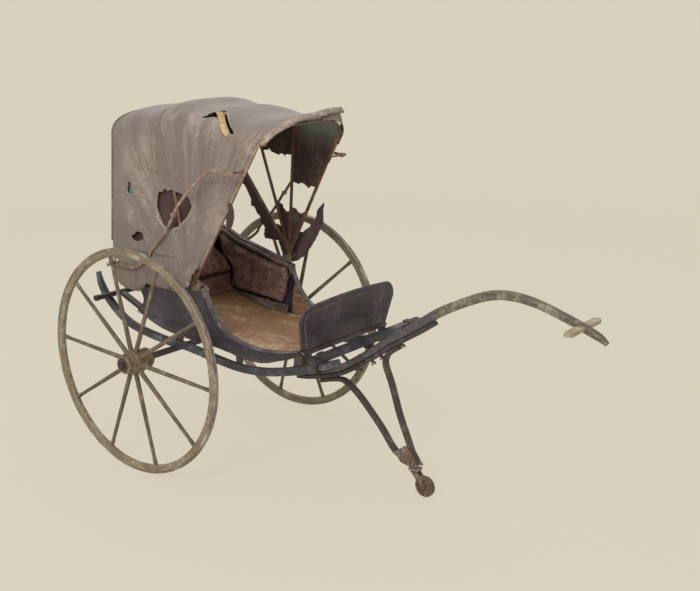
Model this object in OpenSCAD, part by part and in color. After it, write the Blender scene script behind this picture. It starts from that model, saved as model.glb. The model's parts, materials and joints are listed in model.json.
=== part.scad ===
// Pulled rickshaw: a two-wheeled passenger cart with one central pole, a prop with a caster that
// holds the pole up when it is parked, and a folding canvas hood on four bows.
// Millimetres. +X points forward along the pole, +Y to the passenger's left, +Z up.
// The origin is on the ground, midway between the back of the wheels and the tip of the pole.

/* [Road wheels] */
// Radius of a wheel over its tyre
wheel_r = 550; // [420:5:620]
// Distance from the middle plane to the middle of a wheel
wheel_y = 595; // [560:1:660]
// Width of the tyre and of the wooden rim
rim_w = 27; // [20:1:40]
// Radial thickness of the tyre
tyre_t = 12; // [8:1:20]
// Radial depth of the wooden rim
rim_depth = 29; // [20:1:40]
// Number of spokes
spokes = 10; // [8:1:14]
// Diameter of a spoke where it leaves the hub
spoke_d_hub = 23; // [16:0.5:30]
// Diameter of a spoke where it meets the rim
spoke_d_rim = 17; // [12:0.5:22]
// Largest radius of the hub
hub_r = 60; // [48:1:70]
// Length of the hub
hub_len = 160; // [130:1:180]
// How far the hub reaches out past the middle of its wheel
hub_out = 66; // [50:1:80]
// Angle of one spoke from the forward direction
spoke_phase = 4; // [0:0.5:36]

/* [Axle] */
// Side of the square axle beam
axle_side = 24; // [20:1:32]
// Radius of the round arm that the wheel turns on
arm_r = 14; // [11:0.5:18]
// Radius of the nut that keeps a wheel on
axle_nut_r = 20; // [17:1:26]

/* [Rails and crossbars] */
// Distance from the middle plane to the middle of a rail
rail_y = 330; // [300:1:360]
// Depth of a rail
rail_depth = 38; // [28:1:46]
// Width of a rail
rail_w = 30; // [22:1:36]
// Half length of the crossbar behind the body
rear_bar_half = 425; // [390:1:440]
// Diameter of the crossbar behind the body
rear_bar_d = 28; // [22:1:34]
// Half length of the crossbar in front of the body
front_bar_half = 415; // [390:1:460]
// Depth of the crossbar in front of the body
front_bar_depth = 30; // [24:1:36]
// Width of the crossbar in front of the body, along the pole
front_bar_w = 40; // [30:1:50]
// Thickness of the iron bands that clamp the crossbar to the rails
band_t = 4; // [3:0.5:6]

/* [Body] */
// Half width of the body over its side panels
body_half = 326; // [300:1:330]
// Thickness of the side panels
panel_t = 12; // [9:1:16]
// Thickness of the floor boards
floor_t = 12; // [9:1:16]
// Thickness of the back panel
back_t = 14; // [10:1:18]
// Thickness of the padded leather on the arms
arm_pad_t = 30; // [20:1:40]
// Thickness of the padded leather on the back
back_pad_t = 34; // [20:1:45]
// Width of the trim strip on the top edge of a side panel
trim_w = 26; // [20:1:32]
// Thickness of the trim strip
trim_t = 7; // [5:0.5:10]
// Height of the dashboard
dash_h = 222; // [180:1:260]
// Half width of the dashboard at its foot
dash_foot_half = 313; // [290:1:325]
// Half width of the dashboard at its top
dash_top_half = 349; // [320:1:365]
// Thickness of the dashboard
dash_t = 16; // [12:1:22]
// Forward lean of the dashboard
dash_lean = 8; // [0:0.5:15]

/* [Pole and handle] */
// Width of the pole under the body
pole_w = 42; // [34:1:50]
// Thickness of the strip laminated under the pole
splice_t = 20; // [14:1:26]
// Half length of the cross handle
handle_half = 143; // [110:1:170]
// Width of the cross handle, along the pole
handle_w = 38; // [28:1:44]
// Thickness of the cross handle
handle_t = 16; // [12:1:20]

/* [Prop and caster] */
// Width of a prop leg across the cart
leg_w = 34; // [26:1:40]
// Thickness of a prop leg
leg_t = 20; // [14:1:26]
// Radius of the caster wheel
caster_r = 50; // [42:1:52]
// Width of the caster wheel
caster_w = 22; // [16:1:28]
// Distance from the caster's swivel pin forward to its wheel
caster_offset = 55; // [50:1:70]

/* [Hood] */
// Distance from the middle plane to the middle of the front bow's leg at the pivot
bow_y = 339; // [336:0.5:345]
// Sideways step from one bow to the next one outside it
bow_pitch = 12; // [11.5:0.5:14]
// Thickness of a bow
bow_t = 7; // [5:0.5:7]
// Width of a bow
bow_w = 18; // [14:1:22]
// How far a bow's legs lean in from the pivot to the roof
bow_lean = 45; // [0:1:60]
// Height of the rounded part at the top of a bow
bow_shoulder = 150; // [100:5:220]
// How far the canvas sags between two bows
canvas_sag = 22; // [0:1:40]
// Thickness of the canvas with its lining
canvas_t = 3; // [2:0.5:5]
// Radius of the bolt that the bows pivot on
pivot_r = 6; // [5:0.5:8]
// Thickness of a hood iron
iron_t = 6; // [5:0.5:8]
// Width of a hood iron
iron_w = 15; // [12:1:20]

/* [Hidden] */
$fn = 64;
// Gap between two pieces that are fitted against each other
seat_gap = 0.3;
// Radial clearance between a pin and the hole that turns on it
running_gap = 0.08;

axle_z = wheel_r;
rim_r = wheel_r - tyre_t - seat_gap;
rim_inner_r = rim_r - rim_depth;
hub_out_y = wheel_y + hub_out;
hub_in_y = hub_out_y - hub_len;

// The rails rest on the axle beam: this is the middle of a rail above the axle, and every height
// in the tables below is a rise above it.
axle_seat_gap = 1.4;
deck_z = axle_z + axle_side / 2 + axle_seat_gap + rail_depth / 2;

// Side rail: x, rise, depth as a share of rail_depth
RAIL = [[-540, 280, 0.35], [-520, 214, 0.85], [-458, 137, 1], [-340, 56, 1], [-215, 22, 1],
        [-40, 0, 1], [40, 0, 1], [165, -11, 1], [314, -31, 1], [440, -41, 1], [550, -36, 1], [666, -17, 1], [842, 30, 1],
        [1029, 101, 0.8]];
// Lower edge of a side panel: x, rise
BODY_LOW = [[-263, 119], [-107, 61], [57, 37], [197, 31], [295, 25], [372, 17], [437, 6],
            [576, 6], [693, 41], [820, 88]];
// Rear edge of the body from the floor to the top: x, rise
BODY_REAR = [[-263, 119], [-220, 160], [-214, 200], [-258, 262], [-305, 297], [-344, 338], [-350, 400],
             [-350, 459]];
// Upper edge of a side panel from the back to the front of the arm: x, rise
ARM_TOP = [[-350, 464], [-250, 442], [-138, 396], [0, 362], [130, 328], [205, 314]];
// Upper edge of a side panel from the arm down to the dashboard: x, rise
ARM_FRONT = [[222, 306], [224, 268], [268, 180], [346, 108], [506, 66], [660, 71], [800, 100]];
// Pole from under the floor to its tip: x, rise, depth, width as a share of pole_w
POLE = [[522, -125, 30, 1], [600, -114, 30, 1], [715, -82, 32, 1], [808, -46, 34, 1], [957, 50, 34, 1],
        [1067, 130, 36, 1], [1177, 200, 40, 1], [1254, 252, 42, 1], [1331, 305, 42, 0.95],
        [1430, 358, 42, 0.9], [1540, 408, 42, 0.85], [1628, 432, 40, 0.85], [1722, 435, 38, 0.85],
        [1815, 421, 36, 0.85], [1909, 394, 35, 0.85], [1997, 365, 34, 0.85], [2085, 331, 30, 0.8],
        [2120, 308, 16, 0.6]];

// Hood bows from the front to the rear: angle from +X, leg and roof radius from the pivot
BOWS = [[60.5, 868], [83, 808], [105.5, 852], [124.5, 928]];
pivot_x = 167;
pivot_rise = 332;
// Swivelling stud on the body that the lower hood iron turns on
stud_x = -335;
stud_rise = 366;
// Lower hood iron from its stud to the middle joint, and upper hood iron on to the bow: x, rise
LOWER_IRON = [[-335, 366], [-290, 361], [-196, 361], [-99, 420], [-66, 466], [28, 559], [101, 658]];
UPPER_IRON = [[101, 658], [170, 742], [308, 862], [395, 893], [479.7, 884.7]];
bow_bolt_radius = 635;

// ---- curves ----

// One point of the smooth curve through b and c, with a and d as their neighbours
function spline(a, b, c, d, t) =
    0.5 * (2 * b + (c - a) * t + (2 * a - 5 * b + 4 * c - d) * t * t
           + (3 * b - a - 3 * c + d) * t * t * t);
// Smooth curve through the rows of a table
function curve(rows, steps = 4) =
    let (last = len(rows) - 1)
    concat([for (i = [0 : last - 1], k = [0 : steps - 1])
                spline(rows[max(i - 1, 0)], rows[i], rows[i + 1], rows[min(i + 2, last)], k / steps)],
           [rows[last]]);
function unit(v) = v / norm(v);
// Direction of a path at point i
function along(path, i) = unit(path[min(i + 1, len(path) - 1)] - path[max(i - 1, 0)]);
// Point i of a path in x and rise, moved to the left of its direction by d
function beside(path, d) =
    [for (i = [0 : len(path) - 1]) let (t = along(path, i)) path[i] + d * [-t[1], t[0]]];
// Upper (side 1) or lower (side -1) edge of a bar with rows of x, rise, depth, with its seat gap
function edge(rows, side) =
    [for (i = [0 : len(rows) - 1])
        let (t = along(xz(rows), i), d = side * (rows[i][2] / 2 + seat_gap)) xz(rows)[i] + d * [-t[1], t[0]]];
// Largest and smallest rise of an edge between two places
function highest(path, x0, x1) = max([for (k = [0 : 8]) lookup(x0 + (x1 - x0) * k / 8, path)]);
function lowest(path, x0, x1) = min([for (k = [0 : 8]) lookup(x0 + (x1 - x0) * k / 8, path)]);
function xz(rows) = [for (r = rows) [r[0], r[1]]];
function reversed(rows) = [for (i = [len(rows) - 1 : -1 : 0]) rows[i]];
// Outline of a strip that lies between d0 and d1 to the left of a path
function strip(path, d0, d1) = concat(beside(path, d0), reversed(beside(path, d1)));

// Section with rounded corners: width first, then depth
function rounded(w, d, r, n = 3) =
    [for (c = [0 : 3], k = [0 : n - 1])
        let (a = c * 90 + k * 90 / (n - 1), sx = (c == 0 || c == 3) ? 1 : -1, sy = c < 2 ? 1 : -1)
        [sx * (w / 2 - r) + r * cos(a), sy * (d / 2 - r) + r * sin(a)]];

// Solid along a path in one plane; n is that plane's normal
module sweep(path, n, sections) {
    rings = len(path);
    sides = len(sections[0]);
    points = [for (i = [0 : rings - 1]) let (t = along(path, i), b = cross(t, n))
                  for (p = sections[i]) path[i] + p[0] * n + p[1] * b];
    skin = [for (i = [0 : rings - 2], j = [0 : sides - 1])
                let (a = i * sides + j, b = i * sides + (j + 1) % sides)
                each [[a, b + sides, b], [a, a + sides, b + sides]]];
    first = [for (j = [0 : sides - 1]) j];
    last = [for (j = [sides - 1 : -1 : 0]) (rings - 1) * sides + j];
    polyhedron(points, concat(skin, [first, last]));
}

// Solid between two grids of points with the same rows and columns
module slab(outer, inner) {
    rows = len(outer);
    cols = len(outer[0]);
    total = rows * cols;
    points = concat([for (r = outer) each r], [for (r = inner) each r]);
    skins = [for (i = [0 : rows - 2], j = [0 : cols - 2]) let (a = i * cols + j)
                 each [[a, a + cols, a + 1], [a + 1, a + cols, a + cols + 1],
                       [total + a, total + a + 1, total + a + cols],
                       [total + a + 1, total + a + cols + 1, total + a + cols]]];
    ends = [for (j = [0 : cols - 2]) let (a = j, b = (rows - 1) * cols + j)
                each [[a, a + 1, total + a], [a + 1, total + a + 1, total + a],
                      [b, total + b, b + 1], [b + 1, total + b, total + b + 1]]];
    sides = [for (i = [0 : rows - 2]) let (a = i * cols, b = i * cols + cols - 1)
                 each [[a, total + a, a + cols], [a + cols, total + a, total + a + cols],
                       [b, b + cols, total + b], [b + cols, total + b + cols, total + b]]];
    polyhedron(points, concat(skins, ends, sides));
}

// Everything is drawn with the axle at x = 0 and moved to the frame's origin here
module placed() {
    translate([-origin_x, 0, 0]) children();
}
// Draws in the side view: x, rise above the deck; extruded between two distances from the middle
module side_plate(outline, y0, y1) {
    translate([0, y1, deck_z]) rotate([90, 0, 0]) linear_extrude(y1 - y0) polygon(outline);
}
module right_and_left() {
    children();
    mirror([0, 1, 0]) children();
}
// Bar that follows rows of x, rise, depth, width in the side view, at a distance from the middle
module bar(rows, y, corner) {
    path = [for (r = rows) [r[0], y, deck_z + r[1]]];
    sections = [for (r = rows) rounded(r[3], r[2], min(corner, 0.45 * r[2], 0.45 * r[3]))];
    sweep(path, [0, 1, 0], sections);
}
module cross_cylinder(r, y0, y1) {
    translate([0, y1, 0]) rotate([90, 0, 0]) cylinder(r = r, h = y1 - y0);
}

// ---- chassis ----

rail_curve = curve([for (r = RAIL) [r[0], r[1], rail_depth * r[2], rail_w]]);
rail_top = edge(rail_curve, 1);
rail_under = edge(rail_curve, -1);
body_low = curve(BODY_LOW);
body_rear = curve(BODY_REAR, 3);
pole_curve = curve([for (r = POLE) [r[0], r[1], r[2], pole_w * r[3]]]);
pole_top = edge(pole_curve, 1);
pole_end = len(pole_curve) - 1;
pole_tip_x = pole_curve[pole_end][0] - pole_curve[pole_end][2] / 2 * along(xz(pole_curve), pole_end)[1];
origin_x = (pole_tip_x - wheel_r) / 2;

module axle() {
    color("dimgray") {
        translate([-axle_side / 2, -hub_in_y + 8, axle_z - axle_side / 2])
            cube([axle_side, 2 * hub_in_y - 16, axle_side]);
        right_and_left() translate([0, 0, axle_z]) {
            cross_cylinder(arm_r, hub_in_y - 8.5, hub_out_y + 10);
            cross_cylinder(axle_nut_r, hub_out_y + 1, hub_out_y + 14);
            cross_cylinder(arm_r + 12, hub_in_y - 10, hub_in_y - 1);
        }
    }
}

module rail(side) {
    color("slategray") bar(rail_curve, side * rail_y, 7);
}

rear_bar_x = -448;
rear_bar_centre = [rear_bar_x, lookup(rear_bar_x, beside(rail_top, rear_bar_d / 2 + seat_gap))];
module rear_crossbar() {
    color("slategray") translate([rear_bar_centre[0], 0, deck_z + rear_bar_centre[1]]) {
        cross_cylinder(rear_bar_d / 2, -rear_bar_half, rear_bar_half);
        right_and_left() translate([0, rear_bar_half, 0]) sphere(r = rear_bar_d / 2);
    }
}

bracket_y = 268;
module rear_brackets() {
    // From the underside of the body's rear corner back to the crossbar: x, rise
    foot = BODY_REAR[0] + [16, -24];
    head = rear_bar_centre + [rear_bar_d / 2 + 1, -2];
    color("slategray") right_and_left()
        side_plate(strip([head, foot], -8, 8), bracket_y - 17, bracket_y + 17);
}

front_bar_x = 946;
front_bar_rear = front_bar_x - front_bar_w / 2;
front_bar_rise = highest(rail_top, front_bar_rear, front_bar_rear + front_bar_w) + front_bar_depth / 2;
module front_crossbar() {
    color("slategray")
        translate([front_bar_x - front_bar_w / 2, -front_bar_half, deck_z + front_bar_rise - front_bar_depth / 2])
            cube([front_bar_w, 2 * front_bar_half, front_bar_depth]);
}

// Iron band round each rail behind the crossbar, with a tongue over the crossbar
module rail_bands() {
    band_len = 16;
    x1 = front_bar_rear - 1;
    x0 = x1 - band_len;
    inner_w = rail_w + 2 * seat_gap;
    low = lowest(rail_under, x0, x1);
    high = highest(rail_top, x0, x1);
    over = front_bar_rise + front_bar_depth / 2 + seat_gap;
    color("dimgray") right_and_left() translate([0, rail_y - inner_w / 2 - band_t, deck_z]) {
        difference() {
            translate([x0, 0, low - band_t]) cube([band_len, inner_w + 2 * band_t, high - low + 2 * band_t]);
            translate([x0 - 1, band_t, low]) cube([band_len + 2, inner_w, high - low]);
        }
        translate([x1 - band_t, 0, high]) cube([band_t, inner_w + 2 * band_t, over - high + band_t]);
        translate([x1 - band_t, 0, over]) cube([front_bar_w + 2 * band_t + 2, inner_w + 2 * band_t, band_t]);
    }
}

// Blocks between the rails and the body: x at the middle, length
SPACERS = [[30, 46], [430, 34], [790, 40]];
module spacer_blocks() {
    color("darkslategray") right_and_left() for (row = SPACERS) {
        x0 = row[0] - row[1] / 2;
        x1 = row[0] + row[1] / 2;
        xs = [for (k = [0 : 4]) x0 + (x1 - x0) * k / 4];
        under = [for (x = xs) [x, lookup(x, rail_top)]];
        over = [for (x = reversed(xs)) [x, lookup(x, body_low) - seat_gap]];
        side_plate(concat(under, over), body_half - panel_t, body_half);
    }
}

// ---- body ----

inner_half = body_half - panel_t - seat_gap;

// The seat board is one flat plank that slopes down to the front edge where the floor boards begin
seat_rear = [-234, 112];
seat_front = [30, 43];
seat_slope = atan2(seat_rear[1] - seat_front[1], seat_front[0] - seat_rear[0]);
floor_curve = concat([[seat_front[0] + 3, seat_front[1]]],
                     [for (p = body_low) if (p[0] > seat_front[0] + 20) p + [0, seat_gap]]);
module floor_board() {
    color("burlywood") side_plate(strip(floor_curve, 0, floor_t), -inner_half, inner_half);
}
module seat_board() {
    rise = [sin(seat_slope), cos(seat_slope)] * floor_t;
    color("tan") side_plate([seat_rear, seat_front, seat_front + rise, seat_rear + rise], -inner_half, inner_half);
}
floor_top = beside(floor_curve, floor_t);

arm_top = curve(ARM_TOP, 3);
arm_front = curve(ARM_FRONT);
top_edge = concat(arm_top, arm_front);
module side_panel(side) {
    outline = concat(body_low, reversed(arm_front), reversed(arm_top), reversed(body_rear));
    color("midnightblue") mirror([0, side > 0 ? 0 : 1, 0])
        side_plate(outline, body_half - panel_t, body_half);
}

module back_panel() {
    color("midnightblue") side_plate(strip(body_rear, -back_t, 0), -inner_half, inner_half);
}

module trim_strips() {
    color("lightsteelblue") right_and_left() {
        side_plate(strip(arm_front, seat_gap, seat_gap + trim_t), body_half - trim_w + 4, body_half + 4);
        side_plate(strip(arm_top, seat_gap, seat_gap + trim_t), body_half - trim_w + 4, body_half + 4);
    }
}

module arm_pad(side) {
    outline = [[-205, 126], [-160, 114], [40, 98], [170, 90], [196, 150], [214, 240], [204, 292],
               [130, 308], [0, 340], [-138, 374], [-250, 420], [-290, 424], [-270, 300], [-210, 250],
               [-190, 200]];
    color("saddlebrown") mirror([0, side > 0 ? 0 : 1, 0])
        side_plate(outline, inner_half - arm_pad_t, inner_half);
}

module back_pad() {
    path = [for (p = body_rear) if (p[1] > 190) p];
    half = inner_half - arm_pad_t - 4;
    color("saddlebrown")
        side_plate(strip(path, -back_t - seat_gap - back_pad_t, -back_t - seat_gap), -half, half);
}

dash_x = 801;
module dashboard() {
    corner = 70;
    top = [for (a = [0 : 10 : 80]) [dash_top_half - corner + corner * cos(a), dash_h - 12 - corner + corner * sin(a)]];
    crown = [for (k = [0 : 8]) let (y = (dash_top_half - corner) * (1 - k / 8))
                 [y, dash_h - 12 * pow(y / (dash_top_half - corner), 2)]];
    half = concat([[dash_foot_half, 0]], top, crown);
    outline = concat(half, [for (p = reversed(half)) if (p[0] > 0.01) [-p[0], p[1]]]);
    foot_rise = highest(floor_top, dash_x, dash_x + dash_t) + dash_t * sin(dash_lean) + seat_gap;
    color("darkslategray")
        translate([dash_x, 0, deck_z + foot_rise]) rotate([0, dash_lean, 0])
            rotate([90, 0, 90]) linear_extrude(dash_t) polygon(outline);
}

// ---- pole, handle and prop ----

handle_x = 2012;
handle_rise = lookup(handle_x, xz(pole_curve));
module handle_blade(extra) {
    half = handle_half - handle_w / 2;
    translate([handle_x, 0, deck_z + handle_rise - handle_t / 2 - extra]) {
        translate([-handle_w / 2 - extra, -half, 0]) cube([handle_w + 2 * extra, 2 * half, handle_t + 2 * extra]);
        right_and_left() translate([0, half, 0]) cylinder(r = handle_w / 2 + extra, h = handle_t + 2 * extra);
    }
}
module pole() {
    color("rosybrown") difference() {
        bar(pole_curve, 0, 10);
        handle_blade(seat_gap);
    }
}
module cross_handle() {
    color("navajowhite") handle_blade(0);
}

splice_end_x = 1300;
splice_rows = [for (r = pole_curve) if (r[0] < splice_end_x) r];
splice_mid = [for (i = [0 : len(splice_rows) - 1])
                  let (t = along(xz(splice_rows), i), d = splice_rows[i][2] / 2 + 2 * seat_gap + splice_t / 2)
                  [splice_rows[i][0] + d * t[1], splice_rows[i][1] - d * t[0], splice_t, pole_w]];
// Middle line of a leg's foot that lies against the underside of the splice
leg_seat = beside(edge(splice_mid, -1), -leg_t / 2 - seat_gap);
module pole_splice() {
    color("dimgray") bar(splice_mid, 0, 5);
}

// Irons that hang the pole from the floor and from the front crossbar
HANGER_X = [560, 946];
module hanger(x, length, low, high) {
    translate([x - length / 2, -pole_w / 2, deck_z + low]) cube([length, pole_w, high - low]);
}
module pole_hangers() {
    color("dimgray") {
        hanger(HANGER_X[0], 32, highest(pole_top, HANGER_X[0] - 16, HANGER_X[0] + 16),
               lowest(floor_curve, HANGER_X[0] - 16, HANGER_X[0] + 16) - seat_gap);
        hanger(HANGER_X[1], 24, highest(pole_top, HANGER_X[1] - 12, HANGER_X[1] + 12),
               front_bar_rise - front_bar_depth / 2 - seat_gap);
    }
}

// The caster's swivel pin stands under the point where the prop legs meet
swivel_x = 1218;
fork_top_z = 2 * caster_r + 12;
socket_z = fork_top_z + 6;
leg_foot_z = socket_z + 21.8;
leg_foot_rise = leg_foot_z - deck_z;
module prop_leg(foot, rows) {
    bend = curve(concat([foot[len(foot) - 1]], rows));
    path = concat(foot, [for (k = [1 : len(bend) - 1]) bend[k]]);
    color("dimgray") bar([for (p = path) [p[0], p[1], leg_t, leg_w]], 0, 5);
}
module prop_leg_front() {
    flat = [for (p = leg_seat) if (p[0] > 1065 && p[0] < 1130) p];
    prop_leg([for (k = [len(flat) - 1 : -1 : 0]) flat[k]],
             [[1050, 44], [1048, 4], [1085, -85], [1129, -217], [1179, -333], [swivel_x + 8, leg_foot_rise]]);
}
module prop_leg_rear() {
    prop_leg([for (p = leg_seat) if (p[0] > 665 && p[0] < 748) p],
             [[790, -116], [830, -128], [903, -179], [1024, -300], [1107, -399], [swivel_x - 14, leg_foot_rise]]);
}
module prop_gusset() {
    plate_t = 4;
    y = leg_w / 2 + seat_gap;
    plate = [[1110, 185 - deck_z], [1180, 232 - deck_z], [1250, leg_foot_rise], [1196, leg_foot_rise - 6],
             [1150, leg_foot_rise + 4]];
    color("dimgray") {
        right_and_left() side_plate(plate, y, y + plate_t);
        translate([swivel_x - 25, -leg_w / 2 - 4, socket_z]) cube([50, leg_w + 8, 12]);
    }
}
module caster_fork() {
    arm_y = caster_w / 2 + 2;
    arm_t = 4;
    color("sienna") difference() {
        union() {
            right_and_left() translate([0, arm_y + arm_t, 0]) rotate([90, 0, 0]) linear_extrude(arm_t)
                polygon([[swivel_x - 16, fork_top_z], [swivel_x + 20, fork_top_z],
                         [swivel_x + caster_offset + 10, caster_r + 6],
                         [swivel_x + caster_offset + 8, caster_r - 9],
                         [swivel_x + caster_offset - 8, caster_r - 9]]);
            translate([swivel_x - 16, -arm_y - arm_t, fork_top_z - 6]) cube([36, 2 * (arm_y + arm_t), 6]);
            translate([swivel_x, 0, fork_top_z]) cylinder(r = 12, h = socket_z - fork_top_z - seat_gap);
            translate([swivel_x + caster_offset, 0, caster_r]) cross_cylinder(4, -arm_y - arm_t - 3, arm_y + arm_t + 3);
        }
    }
}
module caster_wheel() {
    color("sienna") translate([swivel_x + caster_offset, 0, caster_r]) rotate([90, 0, 0])
        rotate_extrude() polygon([[4 + running_gap, -caster_w / 2 - 1], [12, -caster_w / 2 - 1], [12, -5], [caster_r - 14, -5],
                                  [caster_r - 14, -caster_w / 2], [caster_r - 3, -caster_w / 2], [caster_r, -caster_w / 2 + 4],
                                  [caster_r, caster_w / 2 - 4], [caster_r - 3, caster_w / 2],
                                  [caster_r - 14, caster_w / 2], [caster_r - 14, 5], [12, 5],
                                  [12, caster_w / 2 + 1], [4 + running_gap, caster_w / 2 + 1]]);
}

// ---- road wheels ----

// Hub outline from its inner to its outer end: share of the length, radius
HUB = [[0, 44], [0.06, 50], [0.14, 50], [0.17, 44], [0.3, 52], [0.4, 60], [0.66, 60], [0.72, 54],
       [0.84, 50], [0.86, 45], [0.96, 45], [1, 40]];
module wheel_frame(side) {
    translate([0, side * wheel_y, axle_z]) rotate([90, 0, 0]) children();
}
module hub(side) {
    color("rosybrown") translate([0, 0, axle_z]) rotate([side > 0 ? -90 : 90, 0, 0])
        translate([0, 0, hub_in_y]) rotate_extrude()
            polygon(concat([[arm_r + running_gap, hub_len], [arm_r + running_gap, 0]],
                           [for (h = HUB) [h[1] * hub_r / 60, h[0] * hub_len]]));
}
module wheel_spokes(side) {
    r0 = hub_r + seat_gap;
    r1 = rim_inner_r - seat_gap;
    color("rosybrown") wheel_frame(side) for (k = [0 : spokes - 1])
        rotate([0, 0, side * (spoke_phase + k * 360 / spokes)]) translate([r0, 0, 0]) rotate([0, 90, 0])
            rotate_extrude() polygon([[0, 0], [spoke_d_hub / 2, 0], [spoke_d_hub / 2 - 1, 0.3 * (r1 - r0)],
                                      [spoke_d_rim / 2, r1 - r0 - 40], [spoke_d_rim / 2 + 1.5, r1 - r0 - 30],
                                      [spoke_d_rim / 2 + 1.5, r1 - r0], [0, r1 - r0]]);
}
module rim(side) {
    h = rim_w / 2;
    color("tan") wheel_frame(side) rotate_extrude() polygon([
        [rim_inner_r + 5, -h], [rim_r, -h], [rim_r, h], [rim_inner_r + 5, h],
        [rim_inner_r, h - 6], [rim_inner_r, 6 - h]]);
}
module tyre(side) {
    h = rim_w / 2;
    r0 = rim_r + seat_gap;
    color("gray") wheel_frame(side) rotate_extrude() polygon([
        [r0, -h], [wheel_r - 4, -h], [wheel_r - 1.2, 2.8 - h], [wheel_r, 6 - h],
        [wheel_r, h - 6], [wheel_r - 1.2, h - 2.8], [wheel_r - 4, h], [r0, h]]);
}

// ---- hood ----

pivot_z = deck_z + pivot_rise;
// Profile of the hood at a place u: 0 at the middle of the roof, 1 or -1 at a pivot.
// Gives the distance from the pivot axis and the distance from the middle plane.
shoulder_u = 0.55;
roundness = 3;
function bulge(x) = pow(max(x, 0), 2 / roundness);
function profile(u, radius, y_pivot, out) =
    let (a = abs(u), y_top = y_pivot - bow_lean)
    a <= shoulder_u
        ? let (f = 90 * a / shoulder_u)
          [radius - bow_shoulder + (bow_shoulder + out) * bulge(cos(f)), sign(u) * (y_top + out) * bulge(sin(f))]
        : let (t = (a - shoulder_u) / (1 - shoulder_u))
          [(radius - bow_shoulder) * (1 - t), sign(u) * (y_top + out + bow_lean * t)];
function hood_point(angle, sy) = [pivot_x + sy[0] * cos(angle), sy[1], pivot_z + sy[0] * sin(angle)];
function bow_pivot_y(k) = bow_y + k * bow_pitch;

// Places round a bow where its curve is sampled
ROOF_US = concat([-0.85, -0.7], [for (i = [-12 : 12]) shoulder_u * i / 12], [0.7, 0.85]);

module bow(k) {
    angle = BOWS[k][0];
    radius = BOWS[k][1];
    y = bow_pivot_y(k);
    eye_r = pivot_r + 8;
    leg_u = 1 - (1 - shoulder_u) * (eye_r - 2) / (radius - bow_shoulder);
    us = around(-leg_u, leg_u);
    path = [for (u = us) hood_point(angle, profile(u, radius, y, 0))];
    color("peru") {
        sweep(path, [-sin(angle), 0, cos(angle)], [for (u = us) rounded(bow_w, bow_t, 2.2)]);
        right_and_left() translate([pivot_x, 0, pivot_z]) difference() {
            cross_cylinder(eye_r, y - bow_t / 2, y + bow_t / 2);
            cross_cylinder(pivot_r + running_gap, y - bow_t, y + bow_t);
        }
        if (k == 0) {
            right_and_left() translate([pivot_x + bow_bolt_radius * cos(angle), 0, pivot_z + bow_bolt_radius * sin(angle)])
                cross_cylinder(5, y - 46, y + 40);
        }
    }
}

// Canvas between bow k and the next: columns run round the hood from u0 to u1
LANDING = 0.06;
// Share of the way to the next bow in which the canvas steps outward to clear that bow's leg
STEP_OUT = 0.35;
function between(t) = min(max((t - LANDING) / (1 - 2 * LANDING), 0), 1);
function canvas_row(k, t, us, out) =
    let (angle = BOWS[k][0] + t * (BOWS[k + 1][0] - BOWS[k][0]), f = between(t),
         radius = BOWS[k][1] + f * (BOWS[k + 1][1] - BOWS[k][1]) - canvas_sag * pow(sin(180 * f), 2),
         y = bow_pivot_y(k) + min(t / STEP_OUT, 1) * bow_pitch)
    [for (u = us) hood_point(angle, profile(u, radius, y, out))];
function steps(a, b, n) = [for (i = [0 : n]) a + (b - a) * i / n];
function around(u0, u1) = concat([u0], [for (u = ROOF_US) if (u > u0 && u < u1) u], [u1]);
module canvas_patch(k, u0, u1, t0 = 0.002, t1 = 0.998) {
    us = around(u0, u1);
    ts = concat([t0, LANDING], steps(0.2, 0.8, 4), [1 - LANDING, t1]);
    inner = [for (t = ts) canvas_row(k, t, us, bow_t / 2 + seat_gap)];
    outer = [for (t = ts) canvas_row(k, t, us, bow_t / 2 + seat_gap + canvas_t)];
    slab(outer, inner);
}
near_end = -0.94;
module canvas_front() {
    color("gray") {
        canvas_patch(0, near_end, 0.62, 0.05);
        canvas_patch(0, 0.82, 0.95, 0.05);
    }
}
module canvas_middle() {
    color("gray") {
        canvas_patch(1, near_end, 0.60);
        canvas_patch(1, 0.84, 0.95);
    }
}
module canvas_rear() {
    color("gray") canvas_patch(2, near_end, 0.58);
}

back_x = -368;
// Canvas from the rear bow straight back to the upright back of the hood
module canvas_quarter() {
    angle = BOWS[3][0];
    radius = BOWS[3][1];
    y = bow_pivot_y(3);
    function quarter_row(t, us, out) =
        [for (u = us) let (p = hood_point(angle + 0.05, profile(u, radius, y, out)))
            [p[0] + t * (back_x - p[0]), p[1], p[2] - t * 0.3]];
    color("gray") for (range = [[near_end + 0.02, 0.56, 1], [0.57, 0.95, 0.3]]) {
        us = around(range[0], range[1]);
        ts = [0, 0.35, 0.7, 1] * range[2];
        slab([for (t = ts) quarter_row(t, us, bow_t / 2 + seat_gap + canvas_t)],
             [for (t = ts) quarter_row(t, us, bow_t / 2 + seat_gap)]);
    }
    // The skirt of the near side, which hangs outside the body up to the hood's pivot
    low_end = profile(near_end + 0.02, radius, y, bow_t / 2 + seat_gap + canvas_t);
    skirt_y = -low_end[1];
    skirt_top = pivot_rise + low_end[0] * sin(angle) - 0.6;
    color("gray") difference() {
        side_plate([[back_x, 240], [-180, 236], [-20, 226], [110, 250], [150, 300],
                    [88, pivot_rise - 4], [62, skirt_top], [back_x, skirt_top]], -skirt_y, canvas_t - skirt_y);
        translate([stud_x, 0, deck_z + stud_rise]) cross_cylinder(12, -skirt_y - 1, canvas_t - skirt_y + 1);
    }
}
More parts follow.
